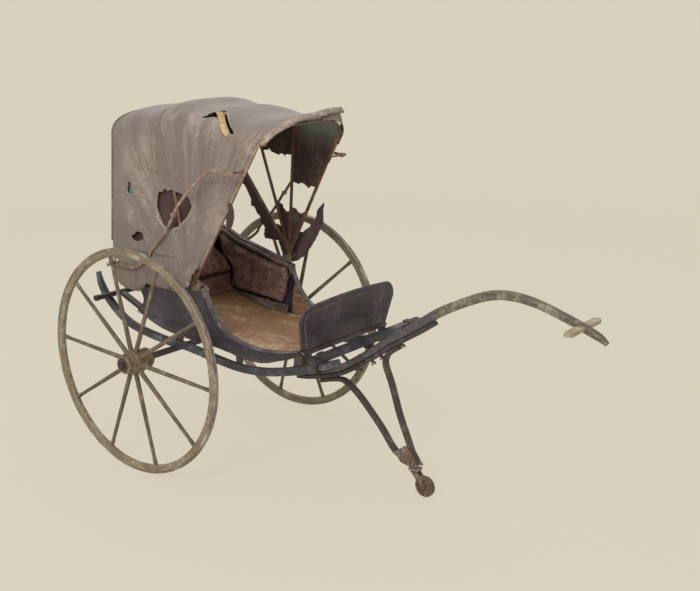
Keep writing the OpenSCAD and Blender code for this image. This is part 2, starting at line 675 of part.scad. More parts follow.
module back_curtain() {
    half = bow_pivot_y(3) - bow_lean - 2;
    color("dimgray") translate([back_x - seat_gap - canvas_t, 0, deck_z]) rotate([90, 0, 90]) linear_extrude(canvas_t)
        polygon([[-half, 430], [-half + 110, 470], [-half + 150, 700], [0, 760], [120, 740], [half, 800],
                 [half, 1035], [half - 60, 1070], [-half + 60, 1070], [-half, 1035]]);
}
module hood_pivots() {
    plate_t = 3.0;
    plate_y = body_half + 4 + seat_gap;
    bolt_y = bow_pivot_y(3) + bow_t / 2;
    color("dimgray") right_and_left() translate([pivot_x, 0, pivot_z]) {
        translate([-30, plate_y, -44]) cube([56, plate_t, 58]);
        translate([-30, body_half + seat_gap, -44]) cube([56, 5, 26]);
        cross_cylinder(pivot_r, plate_y, bolt_y + 2);
        cross_cylinder(pivot_r + 4, bolt_y + 0.6, bolt_y + 4);
    }
}

// Planes of the two hood irons, outside the canvas
lower_iron_y = bow_pivot_y(3) + bow_t / 2 + canvas_t + 6;
upper_iron_y = lower_iron_y + iron_t + 1;
module iron(rows, y, pin_r0, pin_r1) {
    eye_r = 11;
    path = curve([for (r = rows) [r[0], r[1], iron_w, iron_t]]);
    difference() {
        union() {
            bar(path, y + iron_t / 2, 1.5);
            for (end = [rows[0], rows[len(rows) - 1]])
                translate([end[0], 0, deck_z + end[1]]) cross_cylinder(eye_r, y, y + iron_t);
        }
        translate([rows[0][0], 0, deck_z + rows[0][1]]) cross_cylinder(pin_r0, y - 1, y + iron_t + 1);
        translate([rows[len(rows) - 1][0], 0, deck_z + rows[len(rows) - 1][1]])
            cross_cylinder(pin_r1, y - 1, y + iron_t + 1);
    }
}
iron_pin_r = 5;
module iron_studs() {
    color("dimgray") right_and_left() translate([stud_x, 0, deck_z + stud_rise]) {
        cross_cylinder(7, body_half + seat_gap, lower_iron_y - 1);
        cross_cylinder(iron_pin_r, body_half + seat_gap, lower_iron_y + iron_t + 1);
    }
}
module hood_iron_lower() {
    joint = LOWER_IRON[len(LOWER_IRON) - 1];
    color("saddlebrown") right_and_left() {
        iron(LOWER_IRON, lower_iron_y, iron_pin_r + running_gap, 1);
        translate([joint[0], 0, deck_z + joint[1]]) cross_cylinder(iron_pin_r, lower_iron_y + 1, upper_iron_y + iron_t + 3);
    }
}
module hood_iron_upper() {
    color("saddlebrown") right_and_left() iron(UPPER_IRON, upper_iron_y, iron_pin_r + running_gap, 3);
}

placed() axle();
placed() rail(-1);  // rail_right
placed() rail(1);  // rail_left
placed() rear_crossbar();
placed() rear_brackets();
placed() front_crossbar();
placed() rail_bands();
placed() spacer_blocks();
placed() floor_board();
placed() seat_board();
placed() side_panel(-1);  // side_panel_right
placed() side_panel(1);  // side_panel_left
placed() back_panel();
placed() trim_strips();
placed() arm_pad(-1);  // arm_pad_right
placed() arm_pad(1);  // arm_pad_left
placed() back_pad();
placed() dashboard();
placed() pole();
placed() pole_splice();
placed() pole_hangers();
placed() cross_handle();
placed() prop_leg_front();
placed() prop_leg_rear();
placed() prop_gusset();
placed() hood_pivots();
placed() iron_studs();
placed() hub(-1);  // hub_right
placed() wheel_spokes(-1);  // spokes_right
placed() rim(-1);  // rim_right
placed() tyre(-1);  // tyre_right
placed() hub(1);  // hub_left
placed() wheel_spokes(1);  // spokes_left
placed() rim(1);  // rim_left
placed() tyre(1);  // tyre_left
placed() caster_fork();
placed() caster_wheel();
placed() bow(0);  // bow_front
placed() bow(1);  // bow_second
placed() bow(2);  // bow_third
placed() bow(3);  // bow_rear
placed() canvas_front();
placed() canvas_middle();
placed() canvas_rear();
placed() canvas_quarter();
placed() back_curtain();
placed() hood_iron_lower();
placed() hood_iron_upper();
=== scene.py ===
"""Looks of the pulled rickshaw: worn paint, bare wood, iron, leather pads and a torn canvas hood."""
import json
import logging
import math
from dataclasses import dataclass, field
from enum import Enum
from typing import Callable, Iterable

import bmesh
import bpy
from mathutils import Matrix, Vector, noise


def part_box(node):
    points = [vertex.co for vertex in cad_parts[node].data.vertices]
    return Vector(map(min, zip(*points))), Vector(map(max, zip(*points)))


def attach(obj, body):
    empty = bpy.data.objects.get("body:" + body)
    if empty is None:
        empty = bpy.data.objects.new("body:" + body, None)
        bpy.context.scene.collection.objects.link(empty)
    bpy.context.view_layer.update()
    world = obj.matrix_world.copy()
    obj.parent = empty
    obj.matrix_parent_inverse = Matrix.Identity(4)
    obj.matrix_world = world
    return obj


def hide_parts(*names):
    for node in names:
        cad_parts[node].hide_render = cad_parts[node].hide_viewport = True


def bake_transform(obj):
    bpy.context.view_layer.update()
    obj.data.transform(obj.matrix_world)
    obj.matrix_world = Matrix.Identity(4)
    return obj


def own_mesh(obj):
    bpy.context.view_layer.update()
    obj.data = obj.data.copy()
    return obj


LOG = logging.getLogger("rickshaw")
Point = tuple[float, float]
Colour = tuple[float, float, float]
Where = Callable[[float, float], Vector]
Marks = Callable[[float, float, Vector], Colour]
Keep = Callable[[float, float, Vector], bool]
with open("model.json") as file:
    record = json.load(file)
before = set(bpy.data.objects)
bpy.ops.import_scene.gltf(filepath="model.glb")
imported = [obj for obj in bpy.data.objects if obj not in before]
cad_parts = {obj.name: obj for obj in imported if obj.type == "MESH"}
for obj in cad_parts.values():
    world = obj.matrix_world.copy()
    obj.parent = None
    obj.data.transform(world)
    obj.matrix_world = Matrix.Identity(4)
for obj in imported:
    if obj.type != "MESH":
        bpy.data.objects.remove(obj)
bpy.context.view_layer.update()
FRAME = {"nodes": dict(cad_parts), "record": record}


def joint_place(name: str) -> Vector:
    """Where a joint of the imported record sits.

    Args:
        name: The joint's name.

    Returns:
        Its position in metres.
    """
    for joint in FRAME["record"]["behaviour"]["joints"]:
        if joint["name"] == name:
            return Vector(joint["pos_m"])
    raise KeyError(name)


PIVOT = joint_place("hood_fold")
PIVOT_X, PIVOT_RISE = 0.167, 0.332
PIVOT_MM = (167, 332)
SIDES = ((-1, "right"), (1, "left"))


def spot(x: float, y: float, rise: float) -> Vector:
    """A point given by the builder's lengths: forward of the axle, to the left, above the rails.

    Args:
        x: Distance forward of the axle in millimetres.
        y: Distance to the passenger's left in millimetres.
        rise: Height above the rails' datum in millimetres.

    Returns:
        The point in the part's frame, in metres.
    """
    return Vector((x / 1000 - PIVOT_X + PIVOT.x, y / 1000, rise / 1000 - PIVOT_RISE + PIVOT.z))


def flat_of(place: Vector) -> Point:
    """A place's distance forward of the axle and rise, in millimetres."""
    return (place.x - PIVOT.x + PIVOT_X) * 1000, (place.z - PIVOT.z + PIVOT_RISE) * 1000


def srgb(red: int, green: int, blue: int) -> Colour:
    """Linear colour of three 0 to 255 display values."""
    return tuple(((v / 255 + 0.055) / 1.055) ** 2.4 if v > 10 else v / 3294.6 for v in (red, green, blue))


def tones(*colours: int) -> tuple[Colour, ...]:
    """Linear colours of display values written as 0xRRGGBB."""
    return tuple(srgb(c >> 16, c >> 8 & 255, c & 255) for c in colours)


def smooth(x: float) -> float:
    """Eases x from 0 to 1 with level ends."""
    x = min(max(x, 0.0), 1.0)
    return x * x * (3 - 2 * x)


def ripple(x: float, y: float, z: float) -> float:
    """Smooth noise from -1 to 1 at a place."""
    return noise.noise(Vector((x, y, z)))


def link(made: bpy.types.Object) -> None:
    """Adds an object to the scene."""
    bpy.context.scene.collection.objects.link(made)


def ended(build: bmesh.types.BMesh, name: str = "made") -> bpy.types.Mesh:
    """Makes a mesh of a bmesh.

    Args:
        build: The bmesh, which is freed.
        name: Name of the mesh.

    Returns:
        The mesh.
    """
    mesh = bpy.data.meshes.new(name)
    build.to_mesh(mesh)
    build.free()
    return mesh


def relaxed(build: bmesh.types.BMesh, verts: Iterable[bmesh.types.BMVert], times: int) -> None:
    """Smooths vertices.

    Args:
        build: Their bmesh.
        verts: The vertices.
        times: How many times.
    """
    for _ in range(times):
        bmesh.ops.smooth_vert(build, verts=verts, factor=0.5, use_axis_x=True, use_axis_y=True, use_axis_z=True)


def inside(point: Point, outline: list[Point]) -> bool:
    """Tells whether a flat point lies in a closed outline.

    Args:
        point: The point.
        outline: Corners of the outline.

    Returns:
        True if it does.
    """
    hit = False
    for (ax, ay), (bx, by) in zip(outline, outline[1:] + outline[:1]):
        if (ay > point[1]) != (by > point[1]):
            if point[0] < ax + (point[1] - ay) * (bx - ax) / (by - ay):
                hit = not hit
    return hit


def reach(point: Point, outline: list[Point]) -> float:
    """Distance from a flat point to the nearest edge of a closed outline.

    Args:
        point: The point.
        outline: Corners of the outline.

    Returns:
        The distance, in the outline's own units.
    """
    p, best = Vector(point), 1e9
    for a, b in zip(outline, outline[1:] + outline[:1]):
        a, ab = Vector(a), Vector(b) - Vector(a)
        t = min(max((p - a).dot(ab) / max(ab.length_squared, 1e-12), 0), 1)
        best = min(best, (p - a - ab * t).length)
    return best


# ---- node groups that several finishes share ----


class Effects:
    """Builds each shared shader effect once."""

    def __init__(self) -> None:
        """Makes the four groups."""
        self.polar = self._polar()
        self.grain = self._grain()
        self.blotch = self._blotch()
        self.weave = self._weave()

    @staticmethod
    def _start(name: str, inputs: dict[str, float], outputs: dict[str, str]) -> tuple:
        """Opens a group with float inputs, a Vector input and the named outputs.

        Args:
            name: Name of the group.
            inputs: Float inputs with their defaults.
            outputs: Output names with their socket types.

        Returns:
            The tree, a node maker, the input node and the output node.
        """
        tree = bpy.data.node_groups.new(name, "ShaderNodeTree")
        tree.interface.new_socket("Vector", in_out="INPUT", socket_type="NodeSocketVector")
        for label, value in inputs.items():
            made = tree.interface.new_socket(label, in_out="INPUT", socket_type="NodeSocketFloat")
            made.default_value = value
        for label, kind in outputs.items():
            tree.interface.new_socket(label, in_out="OUTPUT", socket_type=kind)
        return tree, Wiring(tree), tree.nodes.new("NodeGroupInput"), tree.nodes.new("NodeGroupOutput")

    def _polar(self) -> bpy.types.NodeTree:
        """Coordinates round a lateral axis: distance along the turn, radius, side.

        Returns:
            The group.
        """
        tree, wire, given, out = self._start(
            "round_an_axis", {"Centre X": 0, "Centre Z": 0, "Around": 1, "Outward": 1},
            {"Vector": "NodeSocketVector"})
        parts = wire.node("ShaderNodeSeparateXYZ", Vector=given.outputs["Vector"])
        dx = wire.maths("SUBTRACT", parts.outputs["X"], given.outputs["Centre X"])
        dz = wire.maths("SUBTRACT", parts.outputs["Z"], given.outputs["Centre Z"])
        square = wire.maths("ADD", wire.maths("MULTIPLY", dx, dx), wire.maths("MULTIPLY", dz, dz))
        radius = wire.maths("MULTIPLY", wire.maths("SQRT", square, 0.5), given.outputs["Outward"])
        turn = wire.maths("MULTIPLY", wire.maths("ARCTAN2", dz, dx), given.outputs["Around"])
        joined = wire.node("ShaderNodeCombineXYZ", X=turn, Y=radius, Z=parts.outputs["Y"])
        tree.links.new(joined.outputs[0], out.inputs["Vector"])
        return tree

    def _grain(self) -> bpy.types.NodeTree:
        """Long fibres: dark and light streaks and the height of the fibres.

        Returns:
            The group.
        """
        tree, wire, given, out = self._start(
            "wood_fibres", {"Fineness": 60.0}, {"Streaks": "NodeSocketFloat", "Height": "NodeSocketFloat"})
        coarse = wire.noise(given.outputs["Vector"], given.outputs["Fineness"], 5, 0.62, 0.35)
        finer = wire.maths("MULTIPLY", given.outputs["Fineness"], 3.3)
        fine = wire.noise(given.outputs["Vector"], finer, 3, 0.5, 0.1)
        both = wire.maths("ADD", wire.maths("MULTIPLY", coarse, 0.65), wire.maths("MULTIPLY", fine, 0.35))
        streak = wire.ramp(both, 0.38, 0.62)
        tree.links.new(streak, out.inputs["Streaks"])
        tree.links.new(both, out.inputs["Height"])
        return tree

    def _blotch(self) -> bpy.types.NodeTree:
        """Wear patches from a large and a small noise.

        Returns:
            The group.
        """
        tree, wire, given, out = self._start(
            "wear_patches", {"Size": 9.0, "Amount": 0.5}, {"Mask": "NodeSocketFloat", "Cloud": "NodeSocketFloat"})
        large = wire.noise(given.outputs["Vector"], given.outputs["Size"], 4, 0.6, 0.6)
        small = wire.noise(given.outputs["Vector"], wire.maths("MULTIPLY", given.outputs["Size"], 7.0), 4, 0.65, 0.3)
        both = wire.maths("ADD", wire.maths("MULTIPLY", large, 0.6), wire.maths("MULTIPLY", small, 0.4))
        level = wire.maths("SUBTRACT", wire.maths("ADD", both, wire.maths("MULTIPLY", given.outputs["Amount"], 0.3)),
                           0.65)
        mask = wire.maths("MULTIPLY", level, 7.0)
        mask.node.use_clamp = True
        tree.links.new(mask, out.inputs["Mask"])
        tree.links.new(large, out.inputs["Cloud"])
        return tree

    def _weave(self) -> bpy.types.NodeTree:
        """Crossing threads of a plain weave, on coordinates in metres.

        Returns:
            The group.
        """
        tree, wire, given, out = self._start(
            "plain_weave", {"Thread": 0.0016}, {"Threads": "NodeSocketFloat", "Slub": "NodeSocketFloat"})
        parts = wire.node("ShaderNodeSeparateXYZ", Vector=given.outputs["Vector"])
        pitch = wire.maths("DIVIDE", math.pi, given.outputs["Thread"])
        lift = [wire.maths("ABSOLUTE", wire.maths("SINE", wire.maths("MULTIPLY", parts.outputs[a], pitch)), 0)
                for a in ("X", "Y")]
        tree.links.new(wire.maths("MULTIPLY", lift[0], lift[1]), out.inputs["Threads"])
        across = wire.node("ShaderNodeMapping", Vector=given.outputs["Vector"])
        across.inputs["Scale"].default_value = (14, 130, 7)
        along = wire.node("ShaderNodeMapping", Vector=given.outputs["Vector"])
        along.inputs["Scale"].default_value = (60, 4, 7)
        slub = wire.maths("ADD", wire.maths("MULTIPLY", wire.noise(across.outputs[0], 1, 3, 0.6, 0), 0.3),
                          wire.maths("MULTIPLY", wire.noise(along.outputs[0], 1, 4, 0.65, 0.3), 0.7))
        tree.links.new(slub, out.inputs["Slub"])
        return tree


@dataclass
class Wiring:
    """Short ways to add linked nodes to a tree."""

    tree: bpy.types.NodeTree

    def put(self, socket: bpy.types.NodeSocket, value: object) -> None:
        """Links a socket or sets its constant.

        Args:
            socket: The socket.
            value: Another socket, or the constant.
        """
        if isinstance(value, bpy.types.NodeSocket):
            self.tree.links.new(value, socket)
        else:
            socket.default_value = value

    def node(self, kind: str, **values: object) -> bpy.types.Node:
        """Adds a node.

        Args:
            kind: Blender's type name of the node.
            values: Links or constants for its named inputs.

        Returns:
            The node.
        """
        made = self.tree.nodes.new(kind)
        for name, value in values.items():
            self.put(made.inputs[name], value)
        return made

    def maths(self, kind: str, a: object, b: object = 0.0) -> bpy.types.NodeSocket:
        """Adds a Math node.

        Args:
            kind: The operation.
            a: First value or link.
            b: Second value or link.

        Returns:
            Its result.
        """
        made = self.tree.nodes.new("ShaderNodeMath")
        made.operation = kind
        self.put(made.inputs[0], a)
        self.put(made.inputs[1], b)
        return made.outputs[0]

    def noise(self, where: object, scale: object, detail: float, rough: float, warp: float) -> bpy.types.NodeSocket:
        """Adds a Noise Texture.

        Args:
            where: Link to the coordinates.
            scale: Its scale.
            detail: Number of octaves.
            rough: Roughness of the octaves.
            warp: Distortion.

        Returns:
            Its grey value.
        """
        made = self.node("ShaderNodeTexNoise", Vector=where, Scale=scale, Detail=detail, Roughness=rough,
                         Distortion=warp)
        return made.outputs[0]

    def ramp(self, value: object, low: float, high: float) -> bpy.types.NodeSocket:
        """Stretches low to high onto 0 to 1, with smooth ends.

        Args:
            value: Link to the value.
            low: What becomes 0.
            high: What becomes 1.

        Returns:
            The stretched value.
        """
        made = self.tree.nodes.new("ShaderNodeMapRange")
        made.interpolation_type = "SMOOTHSTEP"
        self.put(made.inputs["Value"], value)
        made.inputs["From Min"].default_value = low
        made.inputs["From Max"].default_value = high
        return made.outputs[0]

    def blend(self, share: object, first: object, second: object) -> bpy.types.NodeSocket:
        """Mixes two colours.

        Args:
            share: How much of the second.
            first: First colour or link.
            second: Second colour or link.

        Returns:
            The mixed colour.
        """
        made = self.tree.nodes.new("ShaderNodeMix")
        made.data_type = "RGBA"
        self.put(made.inputs["Factor"], share)
        for socket, value in ((made.inputs[6], first), (made.inputs[7], second)):
            self.put(socket, value if isinstance(value, bpy.types.NodeSocket) else (*value, 1.0))
        return made.outputs[2]

    def stage_rays(self) -> bpy.types.NodeSocket:
        """Finds the rays that see the plain stage itself.

        Returns:
            1 for camera, glossy and transmission rays.
        """
        rays = self.tree.nodes.new("ShaderNodeLightPath")
        seen = self.maths("ADD", rays.outputs["Is Camera Ray"], rays.outputs["Is Glossy Ray"])
        return self.maths("MINIMUM", self.maths("ADD", seen, rays.outputs["Is Transmission Ray"]), 1.0)

    def mixed(self, share: bpy.types.NodeSocket, first: bpy.types.Node, second: bpy.types.Node, end: str) -> None:
        """Mixes two shaders and links them to the tree's end.

        Args:
            share: How much of the second.
            first: First shader.
            second: Second shader.
            end: Name of the output node.
        """
        mix = self.tree.nodes.new("ShaderNodeMixShader")
        for socket, value in zip(mix.inputs, (share, first.outputs[0], second.outputs[0])):
            self.put(socket, value)
        self.put(self.tree.nodes[end].inputs["Surface"], mix.outputs[0])

    def group(self, tree: bpy.types.NodeTree, **values: object) -> bpy.types.Node:
        """Places a shared effect.

        Args:
            tree: The effect.
            values: Its inputs, with underscores for spaces.

        Returns:
            The node.
        """
        made = self.tree.nodes.new("ShaderNodeGroup")
        made.node_tree = tree
        for name, value in values.items():
            self.put(made.inputs[name.replace("_", " ")], value)
        return made


class Lie(Enum):
    """Which way the fibres or brush marks of a finish run."""

    FORWARD = (0.55, 9.0, 9.0)
    ACROSS = (9.0, 0.55, 9.0)
    UPRIGHT = (9.0, 9.0, 0.55)
    SPOKE = "spoke"
    ROUND = "round"
    EVEN = (1.0, 1.0, 1.0)
    CLOTH = "cloth"


@dataclass(frozen=True)
class Finish:
    """One surface finish: three colours, how they are mixed, and how the surface feels."""

    name: str
    base: Colour
    dark: Colour
    light: Colour
    lie: Lie = Lie.EVEN
    fine: float = 60.0
    wear: float = 0.45
    size: float = 9.0
    rough: float = 0.6
    metal: float = 0.0
    bump: float = 0.25
    depth: float = 0.0008
    sheen: float = 0.0
    coat: float = 0.0
    centre: Point = (0.0, 0.0)

    def material(self, effects: Effects) -> bpy.types.Material:
        """Builds the material.

        Args:
            effects: The shared groups.

        Returns:
            The material.
        """
        made = bpy.data.materials.new(self.name)
        made.use_nodes = True
        made.diffuse_color = (*self.base, 1)
        wire = Wiring(made.node_tree)
        shader = made.node_tree.nodes["Principled BSDF"]
        where = made.node_tree.nodes.new("ShaderNodeTexCoord")
        solid = where.outputs["Object"]
        if self.lie is Lie.CLOTH:
            along = where.outputs["UV"]
        elif self.lie in (Lie.SPOKE, Lie.ROUND):
            spoke = self.lie is Lie.SPOKE
            along = wire.group(effects.polar, Vector=solid, Centre_X=self.centre[0], Centre_Z=self.centre[1],
                               Around=5.0 if spoke else 0.3, Outward=0.55 if spoke else 9.0).outputs[0]
        else:
            mapped = wire.node("ShaderNodeMapping", Vector=solid)
            mapped.inputs["Scale"].default_value = self.lie.value
            along = mapped.outputs[0]
        patches = wire.group(effects.blotch, Vector=solid, Size=self.size, Amount=self.wear)
        if self.lie is Lie.CLOTH:
            cloth = wire.group(effects.weave, Vector=along)
            streaks = wire.ramp(cloth.outputs["Slub"], 0.36, 0.64)
            height = wire.maths("ADD", wire.maths("MULTIPLY", cloth.outputs["Threads"], 0.6), cloth.outputs["Slub"])
        else:
            fibres = wire.group(effects.grain, Vector=along, Fineness=self.fine)
            streaks, height = fibres.outputs["Streaks"], fibres.outputs["Height"]
        colour = wire.blend(streaks, self.dark, self.base)
        colour = wire.blend(wire.maths("MULTIPLY", patches.outputs["Mask"], 0.8), colour, self.light)
        cloud = wire.ramp(patches.outputs["Cloud"], 0.3, 0.62)
        colour = wire.blend(wire.maths("MULTIPLY", wire.maths("SUBTRACT", 1.0, cloud), 0.45), colour, self.dark)
        colour = self.finished_colour(wire, colour, effects)
        wire.put(shader.inputs["Base Color"], colour)
        rough = wire.maths("ADD", wire.maths("MULTIPLY", streaks, 0.14), self.rough - 0.07)
        wire.put(shader.inputs["Roughness"], rough)
        shader.inputs["Metallic"].default_value = self.metal
        shader.inputs["Sheen Weight"].default_value = self.sheen
        shader.inputs["Coat Weight"].default_value = self.coat
        raised = wire.node("ShaderNodeBump", Height=height, Strength=self.bump, Distance=self.depth)
        wire.put(shader.inputs["Normal"], raised.outputs[0])
        return made

    def finished_colour(self, wire: Wiring, colour: bpy.types.NodeSocket, effects: Effects) -> bpy.types.NodeSocket:
        """Lets a kind of finish add to the colour. A plain one adds nothing."""
        return colour


@dataclass(frozen=True)
class TornCloth(Finish):
    """Cloth whose ragged edges show a pale underside, and whose soiling and painted shade follow painted marks."""

    torn: Colour = srgb(176, 184, 168)
    patch: Colour = srgb(126, 113, 102)

    def finished_colour(self, wire: Wiring, colour: bpy.types.NodeSocket, effects: Effects) -> bpy.types.NodeSocket:
        """Adds soiling and painted shade, the darker patch and the pale torn rims.

        Args:
            wire: The material's wiring.
            colour: The colour so far.
            effects: The shared groups; not used here.

        Returns:
            The colour with the marks.
        """
        marks = wire.tree.nodes.new("ShaderNodeAttribute")
        marks.attribute_name = "marks"
        parts = wire.node("ShaderNodeSeparateColor", Color=marks.outputs["Color"])
        colour = wire.blend(wire.maths("MULTIPLY", parts.outputs[1], 0.75), colour, self.patch)
        # Blue mark: random soiling together with painted shade of folds and low parts, blended towards the dark
        # colour.
        colour = wire.blend(wire.maths("MULTIPLY", parts.outputs[2], 0.8), colour, self.dark)
        return wire.blend(parts.outputs[0], colour, self.torn)


@dataclass(frozen=True)
class PartPainted(Finish):
    """Bare wood whose rear part is painted dark."""

    paint: Colour = srgb(74, 70, 76)
    worn: Colour = srgb(116, 112, 116)
    start: float = 0.0
    end: float = 0.1

    def finished_colour(self, wire: Wiring, colour: bpy.types.NodeSocket, effects: Effects) -> bpy.types.NodeSocket:
        """Adds the dark paint behind the start of the bare wood.

        Args:
            wire: The material's wiring.
            colour: The colour so far.
            effects: The shared groups.

        Returns:
            The colour with the paint.
        """
        where = wire.tree.nodes.new("ShaderNodeTexCoord")
        along = wire.node("ShaderNodeSeparateXYZ", Vector=where.outputs["Object"])
        bare = wire.ramp(along.outputs["X"], self.start, self.end)
        rubbed = wire.group(effects.blotch, Vector=where.outputs["Object"], Size=16.0, Amount=0.4)
        paint = wire.blend(rubbed.outputs["Mask"], self.paint, self.worn)
        return wire.blend(wire.maths("MULTIPLY", wire.maths("SUBTRACT", 1.0, bare), 0.85), colour, paint)


# ---- finishes of this cart ----

WHEEL_AXIS = (joint_place("wheel_right_spin").x, joint_place("wheel_right_spin").z)
HOOD_AXIS = (PIVOT.x, PIVOT.z)
RIM_PAINT = Finish("rim_paint", *tones(0xA0947E, 0x68543E, 0xB8AE9A), Lie.ROUND, 34, 0.42, 7, 0.62, centre=WHEEL_AXIS)
TYRE_WORN = Finish("tyre_iron_worn", *tones(0x968E80, 0x625444, 0xBAB4A6), Lie.ROUND, 26, 0.46, 9, 0.5, 0.25,
                   centre=WHEEL_AXIS)
SPOKE_WOOD = Finish("spoke_wood", *tones(0x82725C, 0x483A2E, 0xA89C86), Lie.SPOKE, 24, 0.36, 12, 0.66,
                    centre=WHEEL_AXIS, bump=0.4)
HUB_WOOD = Finish("hub_wood", *tones(0x8A7254, 0x4E3C2C, 0xB09C7C), Lie.ACROSS, 40, 0.4, 16, 0.5, bump=0.4)
DARK_IRON = Finish("dark_iron", *tones(0x544C48, 0x342C2A, 0x7A7068), Lie.FORWARD, 26, 0.42, 14, 0.55, 0.35)
LEG_IRON = Finish("leg_iron", *tones(0x5C524C, 0x382E2A, 0x887C70), Lie.UPRIGHT, 22, 0.42, 12, 0.55, 0.3)
RUST_IRON = Finish("rusty_iron", *tones(0x846C5C, 0x4C3830, 0xAC9886), Lie.EVEN, 90, 0.45, 30, 0.75, 0.2, bump=0.7,
                   depth=0.0012)
HOOD_IRON = Finish("hood_iron", *tones(0xA8927E, 0x745E4E, 0xC8BAA8), Lie.EVEN, 40, 0.42, 18, 0.5, 0.3)
RAIL_PAINT = Finish("rail_paint_worn", *tones(0x42424C, 0x28262C, 0x767A84), Lie.FORWARD, 20, 0.47, 8, 0.45,
                    coat=0.15)
CROSSBAR_PAINT = Finish("crossbar_paint", *tones(0x3A3A42, 0x242228, 0x64666E), Lie.ACROSS, 20, 0.4, 9, 0.45)
BLOCK_WOOD = Finish("block_wood", *tones(0x5C504C, 0x3A302E, 0x847A74), Lie.FORWARD, 26, 0.42, 12, 0.6)
BODY_LACQUER = Finish("body_lacquer", *tones(0x36303A, 0x241F28, 0x524C5A), Lie.FORWARD, 9, 0.42, 5, 0.4, bump=0.12,
                      coat=0.25)
FLOOR_WOOD = Finish("floor_boards", *tones(0xB28C68, 0x866244, 0xD0B28E), Lie.ACROSS, 15, 0.47, 4.5, 0.7, bump=0.35)
PANEL_WOOD = Finish("bare_panel", *tones(0xA68260, 0x6C4C34, 0xC2A27E), Lie.FORWARD, 16, 0.42, 7, 0.65)
TRIM_PAINT = Finish("trim_worn", *tones(0x686266, 0x423A3C, 0x8E8A8E), Lie.FORWARD, 22, 0.47, 10, 0.6)
POLE_WOOD = PartPainted("pole_wood", *tones(0x7A6E60, 0x483E36, 0xA89E8E), Lie.FORWARD, 24, 0.45, 9, 0.55, bump=0.4,
                        start=0.50, end=0.55)
SPLICE_WOOD = Finish("splice_dark", *tones(0x4A4444, 0x2E2929, 0x706A68), Lie.FORWARD, 22, 0.4, 9, 0.55)
HANDLE_WOOD = Finish("handle_wood_bare", *tones(0xB8AC92, 0x887A62, 0xCCC4AC), Lie.ACROSS, 30, 0.42, 12, 0.6)
BOW_WOOD = Finish("bow_wood", *tones(0x8A664E, 0x583C2C, 0xB89A7A), Lie.SPOKE, 26, 0.4, 12, 0.45, centre=HOOD_AXIS,
                  coat=0.2)
HIDE = Finish("arm_leather", *tones(0x96786C, 0x644A40, 0xB29C92), Lie.EVEN, 26, 0.4, 6, 0.42, bump=0.5,
              depth=0.0012, coat=0.1, sheen=0.1)
HIDE_RED = Finish("back_leather", *tones(0x8E6656, 0x5C3E34, 0xA88878), Lie.EVEN, 26, 0.4, 6, 0.42, bump=0.5,
                  depth=0.0012, coat=0.1)
LINING_GREY = Finish("lower_lining", *tones(0x7A685E, 0x54443C, 0x92847A), Lie.EVEN, 20, 0.42, 6, 0.75, bump=0.4)
DASH_HIDE = Finish("dash_leather_worn", *tones(0x40363E, 0x2A2229, 0x5C545E), Lie.ACROSS, 7, 0.42, 6, 0.52,
                   bump=0.25, coat=0.15)
BINDING = Finish("binding_hide", *tones(0x4C484E, 0x302C30, 0x7A7A82), Lie.ACROSS, 30, 0.45, 18, 0.5)
PALE_LINE = Finish("pale_line", *tones(0x8C8686, 0x545056, 0xA09EA2), Lie.EVEN, 60, 0.45, 40, 0.6)
GILT_LINE = Finish("gilt_line", *tones(0x967A5C, 0x604A38, 0xB49E82), Lie.FORWARD, 40, 0.4, 30, 0.55)
CANVAS = TornCloth("hood_canvas", *tones(0x96897E, 0x70635C, 0xACA094), Lie.CLOTH, 40, 0.42, 3.2, 0.9, bump=0.45,
                   depth=0.0009, sheen=0.25)
LINING = TornCloth("hood_lining", *tones(0x604644, 0x3C2A28, 0x7C6868), Lie.CLOTH, 40, 0.42, 4, 0.85, bump=0.35,
                   sheen=0.2, patch=srgb(150, 164, 150))
CURTAIN = TornCloth("curtain_cloth", *tones(0x543A34, 0x382420, 0x6C564E), Lie.CLOTH, 40, 0.38, 5, 0.85, bump=0.35,
                    sheen=0.15, patch=srgb(140, 168, 150))
PIPING = Finish("piping", *tones(0xB09E86, 0x7C6A56, 0xC8BAA2), Lie.EVEN, 90, 0.42, 30, 0.8, bump=0.4)
PIPING_DARK = Finish("piping_grey", *tones(0x908276, 0x64564E, 0xAA9E92), Lie.EVEN, 90, 0.42, 30, 0.8)
SEAM = Finish("seam_cloth", *tones(0xAC9E90, 0x7C6E62, 0xC2B6A8), Lie.EVEN, 70, 0.42, 24, 0.85, bump=0.4)
GUSSET_PLATE = Finish("gusset_plate", *tones(0x887668, 0x524036, 0xA89A8A), Lie.UPRIGHT, 30, 0.45, 26, 0.65, 0.15,
                      bump=0.5)
PALE_LATH = Finish("pale_lath", *tones(0xC4A876, 0x9E7E54, 0xD6C092), Lie.ROUND, 30, 0.4, 12, 0.7, centre=HOOD_AXIS)


